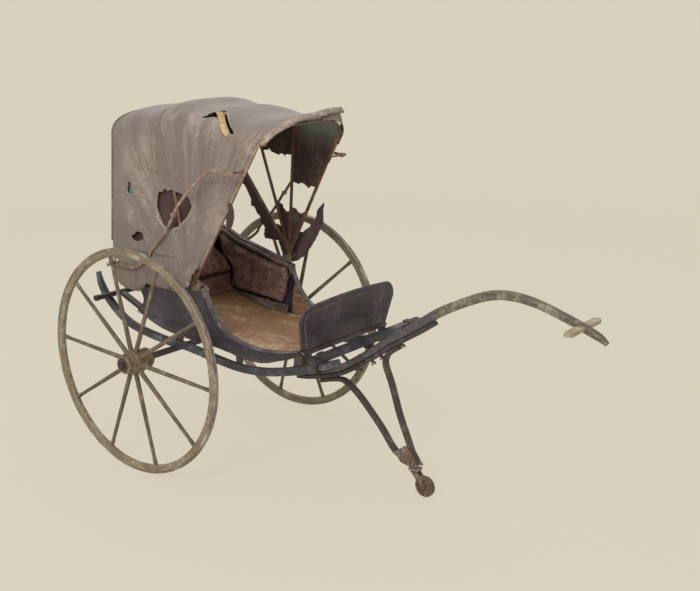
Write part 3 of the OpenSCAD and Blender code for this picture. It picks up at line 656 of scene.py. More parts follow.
class Dresser:
    """Keeps one material for each finish and the shared effects."""

    def __init__(self) -> None:
        """Starts with no material made."""
        self.effects = Effects()
        self.made: dict[str, bpy.types.Material] = {}

    def material(self, finish: Finish) -> bpy.types.Material:
        """The material of a finish, made the first time it is asked for.

        Args:
            finish: The finish.

        Returns:
            The material.
        """
        if finish.name not in self.made:
            self.made[finish.name] = finish.material(self.effects)
        return self.made[finish.name]

    def node(self, finish: Finish, *names: str) -> None:
        """Gives CAD nodes a finish.

        Args:
            finish: The finish.
            names: The nodes.
        """
        for name in names:
            slots = FRAME["nodes"][name].data.materials
            if not slots:
                slots.append(None)
            for index in range(len(slots)):
                slots[index] = self.material(finish)

    def piece(self, name: str, mesh: bpy.types.Mesh, body: str, slot: str, *finishes: Finish) -> bpy.types.Object:
        """Makes an object of a mesh, which rides on a body.

        Args:
            name: Name of the piece.
            mesh: Its mesh, in the part's frame.
            body: The body it moves with, or nothing to leave it unattached.
            slot: The record's material slot; it is not used.
            finishes: Its finishes in the order of its material slots.

        Returns:
            The object.
        """
        mesh.name = name
        made = bpy.data.objects.new(name, mesh)
        link(made)
        mesh.materials.clear()
        for finish in finishes:
            mesh.materials.append(self.material(finish))
        if body:
            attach(made, body)
        LOG.info("%s: %d faces", name, len(mesh.polygons))
        return made


def closed(build: bmesh.types.BMesh, smooth_faces: bool = True) -> bpy.types.Mesh:
    """Ends a bmesh: merges doubles, turns the faces outwards and makes a mesh.

    Args:
        build: The bmesh, which is freed.
        smooth_faces: Shade it smooth.

    Returns:
        The mesh.
    """
    bmesh.ops.remove_doubles(build, verts=build.verts, dist=1e-6)
    bmesh.ops.recalc_face_normals(build, faces=build.faces)
    for face in build.faces:
        face.smooth = smooth_faces
    return ended(build)


def joined(meshes: Iterable[bpy.types.Mesh]) -> bpy.types.Mesh:
    """Joins meshes into one and removes the old ones.

    Args:
        meshes: The meshes.

    Returns:
        The joined mesh.
    """
    build = bmesh.new()
    for mesh in meshes:
        build.from_mesh(mesh)
        bpy.data.meshes.remove(mesh)
    return ended(build)


def strand(points: list[Vector], radius: float, flat: float = 1.0, tilt: float = 0.0, ring: int = 8,
           loop: bool = False) -> bpy.types.Mesh:
    """A round or flattened strand along points, with closed ends.

    Args:
        points: The path in metres.
        radius: Half its width.
        flat: Its height over its width.
        tilt: Turn of the section about the path, in radians.
        ring: Corners of its section.
        loop: Join the ends.

    Returns:
        The mesh.
    """
    curve = bpy.data.curves.new("strand", "CURVE")
    curve.dimensions = "3D"
    curve.twist_mode = "Z_UP"
    profile = bpy.data.curves.new("section", "CURVE")
    profile.dimensions = "2D"
    outline = profile.splines.new("POLY")
    outline.points.add(ring - 1)
    for k, point in enumerate(outline.points):
        turn = 2 * math.pi * k / ring
        point.co = (radius * math.cos(turn), radius * flat * math.sin(turn), 0, 1)
    outline.use_cyclic_u = True
    section = bpy.data.objects.new("section", profile)
    curve.bevel_mode = "OBJECT"
    curve.bevel_object = section
    curve.use_fill_caps = True
    spline = curve.splines.new("POLY")
    spline.points.add(len(points) - 1)
    for point, place in zip(spline.points, points):
        point.co = (*place, 1)
        point.tilt = tilt
    spline.use_cyclic_u = loop
    holder = bpy.data.objects.new("strand", curve)
    link(holder)
    mesh = bpy.data.meshes.new_from_object(holder.evaluated_get(bpy.context.evaluated_depsgraph_get()))
    for thing in (holder, section):
        bpy.data.objects.remove(thing)
    bpy.data.curves.remove(curve)
    bpy.data.curves.remove(profile)
    build = bmesh.new()
    build.from_mesh(mesh)
    bpy.data.meshes.remove(mesh)
    return closed(build)


def curved(rows: list[tuple[float, ...]], per: int = 8) -> list[tuple[float, ...]]:
    """Catmull-Rom points through rows of numbers.

    Args:
        rows: The rows it passes through.
        per: Steps from one row to the next.

    Returns:
        The finer rows.
    """
    ends = [rows[0], *rows, rows[-1]]
    found = []
    for k in range(len(rows) - 1):
        a, b, c, d = ends[k:k + 4]
        for s in range(per):
            t = s / per
            found.append(tuple(0.5 * (2 * q + (r - p) * t + (2 * p - 5 * q + 4 * r - w) * t * t
                                      + (3 * q - p - 3 * r + w) * t ** 3) for p, q, r, w in zip(a, b, c, d)))
    return [*found, tuple(rows[-1])]


def turned(axis: Vector, place: Vector, outline: list[Point], steps: int = 24) -> bpy.types.Mesh:
    """A turned piece: an outline spun round an axis.

    Args:
        axis: Direction of the axis.
        place: Where the axis starts.
        outline: Rows of distance along the axis and radius, in millimetres.
        steps: Facets round it.

    Returns:
        The mesh.
    """
    build = bmesh.new()
    verts = [build.verts.new((max(radius, 0) / 1000, 0, along / 1000)) for along, radius in outline]
    edges = [build.edges.new(pair) for pair in zip(verts, verts[1:])]
    bmesh.ops.spin(build, geom=verts + edges, cent=(0, 0, 0), axis=(0, 0, 1), angle=2 * math.pi, steps=steps,
                   use_merge=True)
    bmesh.ops.transform(build, matrix=Matrix.Translation(place) @ axis.to_track_quat("Z", "Y").to_matrix().to_4x4(),
                        verts=build.verts)
    return closed(build)


def cut_block(low: Vector, high: Vector, bevel: float = 0.001, turn: Matrix | None = None) -> bpy.types.Mesh:
    """A block with rounded edges.

    Args:
        low: Lowest corner.
        high: Highest corner.
        bevel: Width of the rounding in metres.
        turn: A turn about the block's middle.

    Returns:
        The mesh.
    """
    build = bmesh.new()
    bmesh.ops.create_cube(build, size=1)
    size, middle = high - low, (high + low) / 2
    bmesh.ops.scale(build, vec=size, verts=build.verts)
    bmesh.ops.bevel(build, geom=build.edges[:], offset=bevel, offset_type="OFFSET", affect="EDGES", segments=2,
                    profile=0.5, material=-1)
    if turn:
        bmesh.ops.transform(build, matrix=turn, verts=build.verts)
    bmesh.ops.translate(build, vec=middle, verts=build.verts)
    return closed(build, False)


BOLT = [(-1, 0), (-1, 7), (0.6, 7.4), (1.4, 6.6), (2.2, 6.4), (2.2, 3.6), (3.4, 3.2), (4, 1.6), (4.1, 0)]


def bolt(place: Vector, axis: Vector, size: float = 1.0) -> bpy.types.Mesh:
    """A domed bolt head on its washer.

    Args:
        place: Middle of its seat.
        axis: Which way it stands.
        size: Its size against a head 15 mm across.

    Returns:
        The mesh.
    """
    return turned(axis, place, [(a * size, r * size) for a, r in BOLT], 16)


def wing_nut(place: Vector, axis: Vector) -> bpy.types.Mesh:
    """A square plate, nut, threaded end and two bent wings.

    Args:
        place: Middle of its seat.
        axis: Which way it points.

    Returns:
        The mesh.
    """
    stem = turned(axis, place, [(-1, 0), (-1, 9), (1.5, 9), (1.5, 7), (9, 6), (10, 3.2), (19, 3.2), (20, 0)], 14)
    side = Vector((0, 1, 0))
    wings = [strand([place + axis * 0.006 + side * s * 0.005, place + axis * 0.010 + side * s * 0.011,
                     place + axis * 0.016 + side * s * 0.014, place + axis * 0.020 + side * s * 0.013], 0.0024, 2.0)
             for s in (-1, 1)]
    return joined([stem, *wings])


# ---- the hood ----

NEAR_HOLE = [(-37, 745), (46, 763), (92, 744), (151, 731), (169, 695), (147, 650), (98, 606), (49, 581), (1, 585),
             (-38, 619), (-48, 681)]
GREEN_TEAR = [(-238, 778), (-196, 729), (-214, 718), (-250, 723)]
BROWN_HOLE = [(-214, 512), (-177, 539), (-141, 538), (-132, 509), (-187, 493)]
ROOF_TEAR = [(89.0, -0.315), (87.6, -0.205), (84.2, -0.15), (78, -0.275), (71.2, -0.40), (75.0, -0.43), (80.5, -0.33),
             (83.6, -0.275)]
DARK_PATCH = [(84, -0.14), (84, 0.2), (63, 0.1), (62, -0.25), (69, -0.44), (78, -0.28)]


@dataclass
class Hood:
    """Four bows, the torn canvas between them and down the back, its seams, and the irons."""

    dress: Dresser
    bows: tuple[Point, ...] = ((60.5, 868), (83, 808), (105.5, 852), (124.5, 928))
    lean: float = 45.0
    shoulder: float = 150.0
    shoulder_u: float = 0.55
    first_y: float = 339.0
    pitch: float = 12.0
    sag: float = 22.0
    back_x: float = -368.0
    skin: float = 4.2
    near_u: float = -0.94
    near_u_behind: float = -0.92
    far_u: float = 0.95
    thick: float = 0.0022
    thin: float = 0.0015
    bodies: tuple[str, ...] = ("bow_front", "bow_second", "bow_third", "bow_rear")

    def place(self, angle: float, u: float, out: float = 0.0) -> Vector:
        """A point of the hood's skin.

        Args:
            angle: Turn about the hood's pivot, up from forward, in degrees.
            u: Place round the hood, from -1 at the right pivot to 1 at the left one.
            out: Distance outside the bows' middle in millimetres.

        Returns:
            The point in metres.
        """
        k = max(i for i in range(3) if i == 0 or angle >= self.bows[i][0])
        t = min(max((angle - self.bows[k][0]) / (self.bows[k + 1][0] - self.bows[k][0]), 0), 1)
        radius = (self.bows[k][1] + smooth(t) * (self.bows[k + 1][1] - self.bows[k][1])
                  - self.sag * math.sin(math.pi * t) ** 2)
        foot = self.first_y + self.pitch * (k + smooth(t / 0.5))
        part, top = abs(u), foot - self.lean
        if part <= self.shoulder_u:
            f = math.pi / 2 * part / self.shoulder_u
            away = radius - self.shoulder + (self.shoulder + out) * max(math.cos(f), 0) ** (2 / 3)
            side = (top + out) * max(math.sin(f), 0) ** (2 / 3)
        else:
            f = (part - self.shoulder_u) / (1 - self.shoulder_u)
            away, side = (radius - self.shoulder) * (1 - f), top + out + self.lean * f
        turn = math.radians(angle)
        return spot(PIVOT_MM[0] + away * math.cos(turn), math.copysign(side, u), PIVOT_MM[1] + away * math.sin(turn))

    def folds(self, where: Vector, low: float = 1.0) -> float:
        """How far the canvas hangs out of its smooth shape.

        Args:
            where: The place.
            low: A factor on it.

        Returns:
            The distance in millimetres.
        """
        wave = noise.fractal(Vector((where.x * 7, where.y * 3, where.z * 2.2)), 0.8, 2.1, 3)
        broad = ripple(where.x * 3.1, where.y * 2.5 + 7, where.z * 1.2)
        return low * max(0.6, 2.4 + 3.2 * wave + 2.2 * broad)

    def grid(self, across: int, along: int, where: Where, marks: Marks, keep: Keep) -> bpy.types.Mesh:
        """A sheet made from a grid, with its holes cut out and its marks stored.

        Args:
            across: Cells in the first direction.
            along: Cells in the second direction.
            where: Place of a pair of shares from 0 to 1.
            marks: The three marks there: torn rim, patch, soiling and painted shade.
            keep: False inside a hole.

        Returns:
            The mesh, with a UV map in metres.
        """
        build = bmesh.new()
        uv = build.loops.layers.uv.new("UVMap")
        paint = build.verts.layers.float_color.new("marks")
        bmesh.ops.create_grid(build, x_segments=across, y_segments=along, size=0.5)
        share = {v: (v.co.x + 0.5, v.co.y + 0.5) for v in build.verts}
        for v in build.verts:
            v.co = where(*share[v])
        gone = []
        for face in build.faces:
            a = sum(share[v][0] for v in face.verts) / len(face.verts)
            b = sum(share[v][1] for v in face.verts) / len(face.verts)
            if not keep(a, b, face.calc_center_median()):
                gone.append(face)
        for v in build.verts:
            v[paint] = (*marks(*share[v], v.co), 1)
        width = (where(0, 0.5) - where(1, 0.5)).length
        height = sum((where(0.5, k / 20) - where(0.5, (k + 1) / 20)).length for k in range(20))
        for face in build.faces:
            for loop in face.loops:
                loop[uv].uv = (share[loop.vert][0] * width, share[loop.vert][1] * height)
        bmesh.ops.delete(build, geom=gone, context="FACES")
        edge = [v for v in build.verts if any(len(e.link_faces) == 1 for e in v.link_edges)
                and 0.001 < share[v][0] < 0.999 and 0.001 < share[v][1] < 0.999]
        relaxed(build, edge, 2)
        for face in build.faces:
            face.smooth = True
        return ended(build)

    def rim(self, point: Point, outlines: list[list[Point]], width: float) -> float:
        """How near a point is to the rim of a hole, with a ragged band.

        Args:
            point: The point.
            outlines: The holes.
            width: Width of the band.

        Returns:
            From 0, far from it, to 1, on it.
        """
        ragged = 0.6 + 0.8 * ripple(point[0] * 0.03, point[1] * 0.03, 2)
        return max(smooth(1.4 - reach(point, o) / (width * ragged + 1e-6)) for o in outlines)

    def near_rim(self, flat: Point) -> float:
        """Frayed pale rim of the near tears: strong below each hole and faint above it."""
        return self.rim(flat, [NEAR_HOLE, GREEN_TEAR], 8) * (0.25 + 0.75 * smooth((690 - flat[1]) / 60))

    def fanned_fold_shade(self, at: Vector) -> float:
        """Painted shade of soft folds, fanning out from the pivot.

        Args:
            at: The place.

        Returns:
            From 0, none, to 1, darkest.
        """
        turn = math.atan2(at.z - PIVOT.z, at.x - PIVOT.x)
        far = math.hypot(at.x - PIVOT.x, at.z - PIVOT.z)
        wave = noise.fractal(Vector((turn * 7, far * 1.2, 4 + at.y)), 0.7, 2.1, 4)
        return smooth(0.30 + 1.5 * wave) * smooth((-at.y - 0.15) / 0.15)

    def cloth(self, name: str, mesh: bpy.types.Mesh, slot: str, outer: Finish, inner: Finish,
              thick: float) -> bpy.types.Object:
        """Gives a sheet its thickness, its outer and inner faces.

        Args:
            name: Name of the piece.
            mesh: The sheet.
            slot: The record's material slot.
            outer: Finish of the outside.
            inner: Finish of the inside.
            thick: Thickness in metres.

        Returns:
            The object.
        """
        middle = Vector((PIVOT.x, 0, PIVOT.z + 0.35))
        if sum(f.area * f.normal.dot(f.center - middle) for f in mesh.polygons) < 0:
            mesh.flip_normals()
        made = self.dress.piece(name, mesh, "", slot, outer, inner)
        wall = made.modifiers.new("wall", "SOLIDIFY")
        wall.thickness = thick
        wall.offset = -1
        wall.material_offset = 1
        wall.use_even_offset = False
        return made

    def fold_between(self, made: bpy.types.Object, k: int) -> None:
        """Bakes a piece's transform into its mesh; the places of bow k and the next one are worked out but not used.
        """
        start, end = self.place(self.bows[k + 1][0], 0, 0), self.place(self.bows[k][0], 0, 0)
        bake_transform(made)

    def fold_behind(self, made: bpy.types.Object) -> None:
        """Bakes a piece's transform into its mesh; two places on the back panel are worked out but not used."""
        spot(self.back_x, 0, 430)
        spot(self.back_x, 0, 900)
        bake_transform(made)

    def gap(self, k: int, name: str, far: float, stands_for: str) -> None:
        """The canvas from bow k to the next one.

        Args:
            k: Which bow it starts at, from the front.
            name: Name of the piece.
            far: Where its torn far edge is.
            stands_for: The CAD node it stands for.
        """
        a0, a1 = self.bows[k][0], self.bows[k + 1][0]
        near = self.near_u

        def where(a: float, b: float) -> Vector:
            """Where the cloth lies.

            Args:
                a: Share across.
                b: Share along.

            Returns:
                The place.
            """
            angle, u = a0 + a * (a1 - a0), near + b * (self.far_u - near)
            base = self.place(angle, u, self.skin)
            ease = smooth(min(a, 1 - a) * 6) if k else smooth((1 - a) * 6)
            return self.place(angle, u, self.skin + self.folds(base) * (0.35 + 0.65 * ease))

        def keep(a: float, b: float, at: Vector) -> bool:
            """Whether the cloth is whole.

            Args:
                a: Share across.
                b: Share along.
                at: Place.

            Returns:
                False in a hole.
            """
            angle, u = a0 + a * (a1 - a0), near + b * (self.far_u - near)
            jag = 0.035 * noise.noise(at * 9) + 0.02 * noise.noise(at * 31)
            x, rise = flat_of(at)
            if u < -0.5 and any(inside((x, rise), o) for o in (NEAR_HOLE, GREEN_TEAR, BROWN_HOLE)):
                return False
            if inside((angle, u), ROOF_TEAR):
                return False
            low_patch = {0: 0.80, 1: 0.83, 2: 2.0}[k]
            return u < far + jag or u > low_patch + jag

        def marks(a: float, b: float, at: Vector) -> Colour:
            """Its marks.

            Args:
                a: Share across.
                b: Share along.
                at: Place.

            Returns:
                Torn rim, patch, soiling and painted shade.
            """
            angle, u = a0 + a * (a1 - a0), near + b * (self.far_u - near)
            flat = flat_of(at)
            torn = self.near_rim(flat) if u < -0.5 else 0.0
            torn = max(torn, 0.5 * self.rim((angle * 12, u * 1500), [[(p * 12, q * 1500) for p, q in ROOF_TEAR]], 9))
            # Random soiling, then painted shade: darker over the lower hood and near the pivot, and in the fanned
            # folds.
            soil_and_shade = smooth(0.5 + 1.6 * ripple(at.x * 5, at.y, at.z * 1.3 + 3)) * 0.7
            soil_and_shade = max(soil_and_shade * (0.5 + 0.5 * smooth((PIVOT.z + 0.35 - at.z) / 0.3)),
                       0.6 * smooth((PIVOT.z + 0.12 - at.z) / 0.2),
                       self.fanned_fold_shade(at))
            far_patch = smooth((u - 0.2) / 0.06) * smooth((0.6 - u) / 0.12) if k == 0 else 0.0
            return torn, max(0.9 * inside((angle, u), DARK_PATCH), far_patch), soil_and_shade

        mesh = self.grid(40, 260, where, marks, keep)
        made = self.cloth(name, mesh, "canvas", CANVAS, LINING, self.thick)
        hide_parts(stands_for)
        self.fold_between(made, k)

    def quarter(self) -> None:
        """The canvas behind the rear bow: near side and roof whole, far side a torn strip, and the skirt."""
        a1, near = self.bows[3][0], self.near_u_behind

        def where(a: float, b: float) -> Vector:
            """Where the cloth lies.

            Args:
                a: Share across.
                b: Share along.

            Returns:
                The place.
            """
            u = near + b * (self.far_u - near)
            base = self.place(a1, u, self.skin)
            back = spot(self.back_x, 0, 0).x
            at = base.lerp(Vector((back, base.y, base.z)), a)
            out = self.folds(at) * smooth(min(a * 5, (1 - a) * 8 + 0.2)) / 1000
            side = smooth((abs(u) - 0.3) / 0.25)
            bulge = 0.008 * math.sin(math.pi * a)
            return at + Vector((0, math.copysign((out + bulge) * side, u), out * (1 - side)))

        def keep(a: float, b: float, at: Vector) -> bool:
            """Whether the cloth is whole.

            Args:
                a: Share across.
                b: Share along.
                at: Place.

            Returns:
                False in a hole.
            """
            u = near + b * (self.far_u - near)
            jag = 0.03 * noise.noise(at * 9) + 0.02 * noise.noise(at * 31)
            flat = flat_of(at)
            if u < -0.5 and any(inside(flat, o) for o in (NEAR_HOLE, GREEN_TEAR, BROWN_HOLE)):
                return False
            return u < 0.56 + jag or (a < 0.3 + jag * 4)

        def marks(a: float, b: float, at: Vector) -> Colour:
            """Its marks.

            Args:
                a: Share across.
                b: Share along.
                at: Place.

            Returns:
                Torn rim, patch, soiling and painted shade.
            """
            u = near + b * (self.far_u - near)
            flat = flat_of(at)
            torn = self.near_rim(flat) if u < -0.5 else 0.0
            soil_and_shade = smooth(0.5 + 1.6 * ripple(at.x * 5, at.y, at.z * 1.3 + 3)) * 0.7
            # Painted shade of the long fold that runs down from the green tear, on the near side.
            fold = smooth(1
                          - abs(flat[0] + 236 - (778 - flat[1]) * 0.31)
                          / 9) if 470 < flat[1] < 722 and u < -0.5 else 0
            # Painted shade along the rear edge of the near side.
            rear = 0.7 * smooth((a - 0.72) / 0.28) * smooth((-at.y - 0.2) / 0.1)
            # The blue mark adds painted shade of the fanned folds and of the lower part to the random soiling.
            return torn, 0.0, max(soil_and_shade, fold, self.fanned_fold_shade(at), rear, 0.5 * smooth((PIVOT.z + 0.15 - at.z) / 0.2))

        mesh = self.grid(30, 260, where, marks, keep)
        made = self.cloth("canvas_over_the_quarter", mesh, "canvas", CANVAS, LINING, self.thick)
        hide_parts("canvas_quarter")
        self.fold_behind(made)
        self.skirt()

    def skirt_y(self, x: float, rise: float) -> float:
        """How far out the skirt hangs: flat at the rear, over the bows' feet and the pivot bolt at the front.

        Args:
            x: Distance forward of the axle in millimetres.
            rise: Height above the rails' datum in millimetres.

        Returns:
            The distance from the middle in millimetres.
        """
        ahead, above = x - PIVOT_MM[0], rise - PIVOT_MM[1]
        far = math.hypot(ahead, above)
        angle = min(max(math.degrees(math.atan2(above, ahead)), self.bows[0][0]), self.bows[3][0])
        if above < 0:
            angle = self.bows[3][0] if ahead < 0 else self.bows[0][0]
        share = smooth((x - 30) / 90)
        u = -0.55 - 0.45 * (1 - min(far, 300) / 700)
        side = abs(self.place(angle, u, self.skin).y) * 1000 + 2.0
        flat = abs(self.place(self.bows[3][0], self.near_u_behind, self.skin).y) * 1000 + 0.6
        return max(flat + share * (side - flat), 386.5 * (1 - 0.13 * smooth((far - 38) / 90)))

    def skirt(self) -> None:
        """The hanging lower part of the near side, with its hem."""
        outline = [(-366, 262), (-300, 246), (-180, 238), (-127, 296), (-116, 287), (-3, 284), (100, 280), (150, 306),
                   (180, 318), (206, 404), (222, 440), (58, 470), (-366, 470)]

        def where(a: float, b: float) -> Vector:
            """Where the cloth lies.

            Args:
                a: Share across.
                b: Share along.

            Returns:
                The place.
            """
            x, rise = -366 + a * 594, 232 + b * 240
            at = spot(x, 0, rise)
            drape = 0.0045 * math.sin(at.x * 55 + 1.5 * math.sin(at.z * 9)) * smooth(1.1 - b)
            at.y = -self.skirt_y(x, rise) / 1000 - max(drape, -0.0005) - 0.004 * smooth(1 - b) * smooth(a * 3)
            return at

        def keep(a: float, b: float, at: Vector) -> bool:
            """Whether the cloth is whole.

            Args:
                a: Share across.
                b: Share along.
                at: Place.

            Returns:
                False in a hole.
            """
            flat = flat_of(at + Vector((0, 0, 0.010 * noise.noise(at * 22))))
            stud = joint_place("lower_iron_fold")
            return inside(flat, outline) and math.hypot(at.x - stud.x, at.z - stud.z) > 0.013

        def marks(a: float, b: float, at: Vector) -> Colour:
            """Its marks."""
            # Blue mark: a base of soiling that varies at random, with painted shade of the fanned folds.
            return 0.0, 0.0, max(0.25 + 0.5 * smooth(0.5 + ripple(at.x * 9, 3, at.z * 3)), self.fanned_fold_shade(at))

        mesh = self.grid(74, 32, where, marks, keep)
        made = self.cloth("canvas_skirt", mesh, "canvas", CANVAS, LINING, self.thick)
        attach(made, "chassis")
        hem = [spot(x, -self.skirt_y(x, r) - 5.5, r) for x, r in
               curved([(-290, 248), (-180, 242), (-150, 268), (-124, 292), (-60, 287), (0, 286), (100, 283),
                       (150, 308)], 5)]
        self.dress.piece("skirt_hem", strand(hem, 0.0034, 0.7), "chassis", "canvas", PIPING_DARK)

    def curtain(self) -> None:
        """The torn curtain that closes the back."""
        half = self.first_y + 3 * self.pitch - self.lean - 3
        outline = [(-half, 430), (-half + 95, 462), (-half + 120, 560), (-half + 160, 700), (-90, 742), (0, 760),
                   (60, 748),
                   (120, 736), (200, 770), (half, 800), (half, 1030), (half - 60, 1068), (-half + 60, 1068),
                   (-half, 1030)]
        x = spot(self.back_x - 2, 0, 0).x

        def where(a: float, b: float) -> Vector:
            """Where the cloth lies.

            Args:
                a: Share across.
                b: Share along.

            Returns:
                The place.
            """
            at = spot(self.back_x, -half + 2 * half * a, 426 + b * 648)
            at.x = x - 0.0012 - 0.004 * (1 + ripple(0, at.y * 9, at.z * 2))
            return at

        def keep(a: float, b: float, at: Vector) -> bool:
            """Whether the cloth is whole."""
            jag = 26 * noise.noise(at * 12) + 9 * noise.noise(at * 40)
            return inside((at.y * 1000 + jag * 0.3, flat_of(at)[1] + jag), outline)

        mesh = self.grid(84, 84, where, lambda a, b, at: (0.0, 0.0, 0.3), keep)
        made = self.cloth("curtain_of_the_back", mesh, "lining", CANVAS, CURTAIN, self.thick)
        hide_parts("back_curtain")
        self.fold_behind(made)

    def piping(self) -> None:
        """Pale piping down the front bow, grey piping round the rear corner, and the sewn seams."""
        a0, a3 = self.bows[0][0], self.bows[3][0]
        front = [self.place(a0 - 0.5, -0.95 + k * 0.012, 7.5 + 1.2 * ripple(k * 0.4, 1, 0)) for k in range(48)]
        self.dress.piece("front_piping", strand(front, 0.0048), "bow_front", "canvas", PIPING)
        far = [self.place(a0 - 0.5, 0.62 - k * 0.012, 7.5) for k in range(16)]
        self.dress.piece("front_piping_far", strand(far, 0.0042), "bow_front", "canvas", PIPING)
        back = [Vector((spot(self.back_x - 2, 0, 0).x, p.y, p.z))
                for p in (self.place(a3, -0.9 + k * 0.03, self.skin + 3) for k in range(50))]
        made = self.dress.piece("rear_piping", strand(back, 0.004), "", "canvas", PIPING_DARK)
        self.fold_behind(made)
        for k, (name, a, b) in enumerate((("seam_front", 60.7, 83), ("seam_middle", 83, 105.5),
                                          ("seam_rear", 105.5, 124.4))):
            path = []
            for s in range(25):
                angle = a + (b - a) * s / 24
                want = 826 + 26 * smooth((angle - 80) / 50)
                u = min((-0.55 - q * 0.002 for q in range(200)),
                        key=lambda v: abs(flat_of(self.place(angle, v, 0))[1] - want))
                base = self.place(angle, u, self.skin)
                path.append(self.place(angle, u, self.skin + 0.7 + self.folds(base)))
            made = self.dress.piece(name, strand(path, 0.0042, 0.45), "", "canvas", SEAM)
            self.fold_between(made, k)
        arc = curved([(105.2, -0.02), (105.2, -0.24), (107.1, -0.321), (107.6, -0.464), (111.1, -0.569),
                      (114.1, -0.65)], 8)
        path = [self.place(a, u, self.skin + 0.9 + self.folds(self.place(a, u, self.skin)))
                for a, u in arc if a > 105.5]
        made = self.dress.piece("seam_panel", strand(path, 0.0034, 0.45), "", "canvas", SEAM)
        self.fold_between(made, 2)

    def front_roll(self) -> None:
        """The front edge of the canvas, rolled round the front bow, with its knot, clip and torn tip."""
        path = []
        for k in range(34):
            u = -0.44 + 0.75 * k / 33
            at = self.place(self.bows[0][0] - 1.1, u, 6 + 3 * ripple(k * 0.5, 0, 0))
            path.append(at + Vector((0, 0, 0.074 * smooth((k - 4) / 34))))
        roll = strand(path, 0.017, 0.62, 0.5, 14)
        build = bmesh.new()
        build.from_mesh(roll)
        for v in build.verts:
            v.co += v.normal * 0.004 * noise.noise(v.co * 28)
        bpy.data.meshes.remove(roll)
        self.dress.piece("front_roll", closed(build), "bow_front", "canvas", SEAM)
        knot = path[1]
        wraps = [strand([knot + Vector((0.012 * math.cos(q / 12 * 2 * math.pi) + 0.004 * s,
                                        0.006 * s + 0.003 * math.sin(q),
                                        0.016 * math.sin(q / 12 * 2 * math.pi)))
                         for q in range(12)], 0.004, loop=True)
                 for s in (-1, 0, 1)]
        self.dress.piece("front_knot", joined(wraps), "bow_front", "canvas", PIPING)
        tip = path[-3]
        clip = turned(Vector((0.5, 0.2, 0.9)).normalized(), tip,
                      [(-14, 0), (-14, 4), (6, 4), (8, 7), (16, 7), (17, 0)], 14)
        self.dress.piece("front_clip", clip, "bow_front", "iron", HOOD_IRON)
        lath = [self.place(a, u, 1.5)
                for a, u in curved([(88.2, -0.15), (84.0, -0.215), (79, -0.325), (73.4, -0.44)], 6)]
        made = self.dress.piece("bare_lath", strand(lath, 0.017, 0.14, 0.1), "", "bow_wood", PALE_LATH)
        self.fold_between(made, 0)
        self.torn_tip(path[-6:])

    def torn_tip(self, edge: list[Vector]) -> None:
        """The torn corner of canvas that stands up between the roll and the front bow.

        Args:
            edge: The far end of the roll; it is not used.
        """
        a0 = self.bows[0][0]

        def where(a: float, b: float) -> Vector:
            """Where the cloth lies.

            Args:
                a: Share across.
                b: Share along.

            Returns:
                The place.
            """
            u = 0.05 + 0.53 * a
            low = self.place(a0 - 0.2, u, 5)
            spare = Vector((0, 0, 0.070 * smooth((u + 0.1) / 0.4) * smooth((0.6 - u) / 0.26)))
            wave = 0.004 * ripple(a * 6, b * 5, 4)
            return low + spare * (1 - b) + Vector((wave + 0.02 * b, 0, 0))

        def keep(a: float, b: float, at: Vector) -> bool:
            """Whether the cloth is whole."""
            return a < 0.93 + 0.1 * noise.noise(at * 40)

        mesh = self.grid(46, 12, where, lambda a, b, at: (0.0, 0.0, 0.2 + 0.4 * smooth(b)), keep)
        made = self.cloth("torn_tip", mesh, "canvas", CANVAS, LINING, 0.002)
        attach(made, "bow_front")

    def inner_lining(self) -> None:
        """What is left of the inner lining behind the big hole, in two gores."""
        outline = [(-90, 800), (20, 815), (120, 800), (205, 765), (205, 640), (150, 560), (60, 510), (-20, 530),
                   (-100, 640)]
        for k in (1, 2):
            a0, a1 = self.bows[k][0], self.bows[k + 1][0]

            def where(a: float, b: float, a0: float = a0, a1: float = a1) -> Vector:
                """Where the cloth lies."""
                angle, u = a0 + a * (a1 - a0), -0.95 + b * 0.42
                return self.place(angle, u, -9 - 3 * smooth(0.5 + ripple(angle * 0.1, u * 9, 5)))

            def keep(a: float, b: float, at: Vector) -> bool:
                """Whether the cloth is whole."""
                flat = flat_of(at + Vector((0, 0, 0.012 * noise.noise(at * 30))))
                return inside(flat, outline)

            mesh = self.grid(24, 70, where, lambda a, b, at: (0.0, 0.0, 0.4), keep)
            made = self.cloth(f"inner_lining_{k}", mesh, "lining", CURTAIN, CURTAIN, self.thin)
            self.fold_between(made, k)

    def rear_lining(self) -> None:
        """Green and brown lining that shows through the two small tears of the quarter."""
        outline = [(-285, 800), (-200, 800), (-160, 700), (-110, 560), (-112, 485), (-230, 480), (-290, 560)]
        a1 = self.bows[3][0]

        def where(a: float, b: float) -> Vector:
            """Where the cloth lies.

            Args:
                a: Share across.
                b: Share along.

            Returns:
                The place.
            """
            x, rise = -300 + 200 * a, 470 + 340 * b
            u = -0.55 - 0.45 * (1 - (rise - 332) / math.sin(math.radians(a1)) / (self.bows[3][1] - self.shoulder))
            base = self.place(a1, u, self.skin)
            at = spot(x, 0, rise)
            at.y = base.y + 0.011 + 0.002 * noise.noise(at * 20)
            return at

        mesh = self.grid(34, 56, where, lambda a, b, at: (0.0, smooth((b - 0.62) / 0.1), 0.3 * (1 - b)),
                         lambda a, b, at: inside(flat_of(at), outline))
        made = self.cloth("inner_lining_rear", mesh, "lining", CURTAIN, CURTAIN, self.thin)
        self.fold_behind(made)

    def far_pocket(self) -> None:
        """The dark bag of canvas that hangs outside the left bows, about their pivots."""
        outline = [(30, 500), (60, 400), (108, 296), (170, 300), (246, 337), (310, 430), (368, 526), (376, 640),
                   (330, 600),
                   (300, 520), (230, 470), (170, 455), (100, 470)]

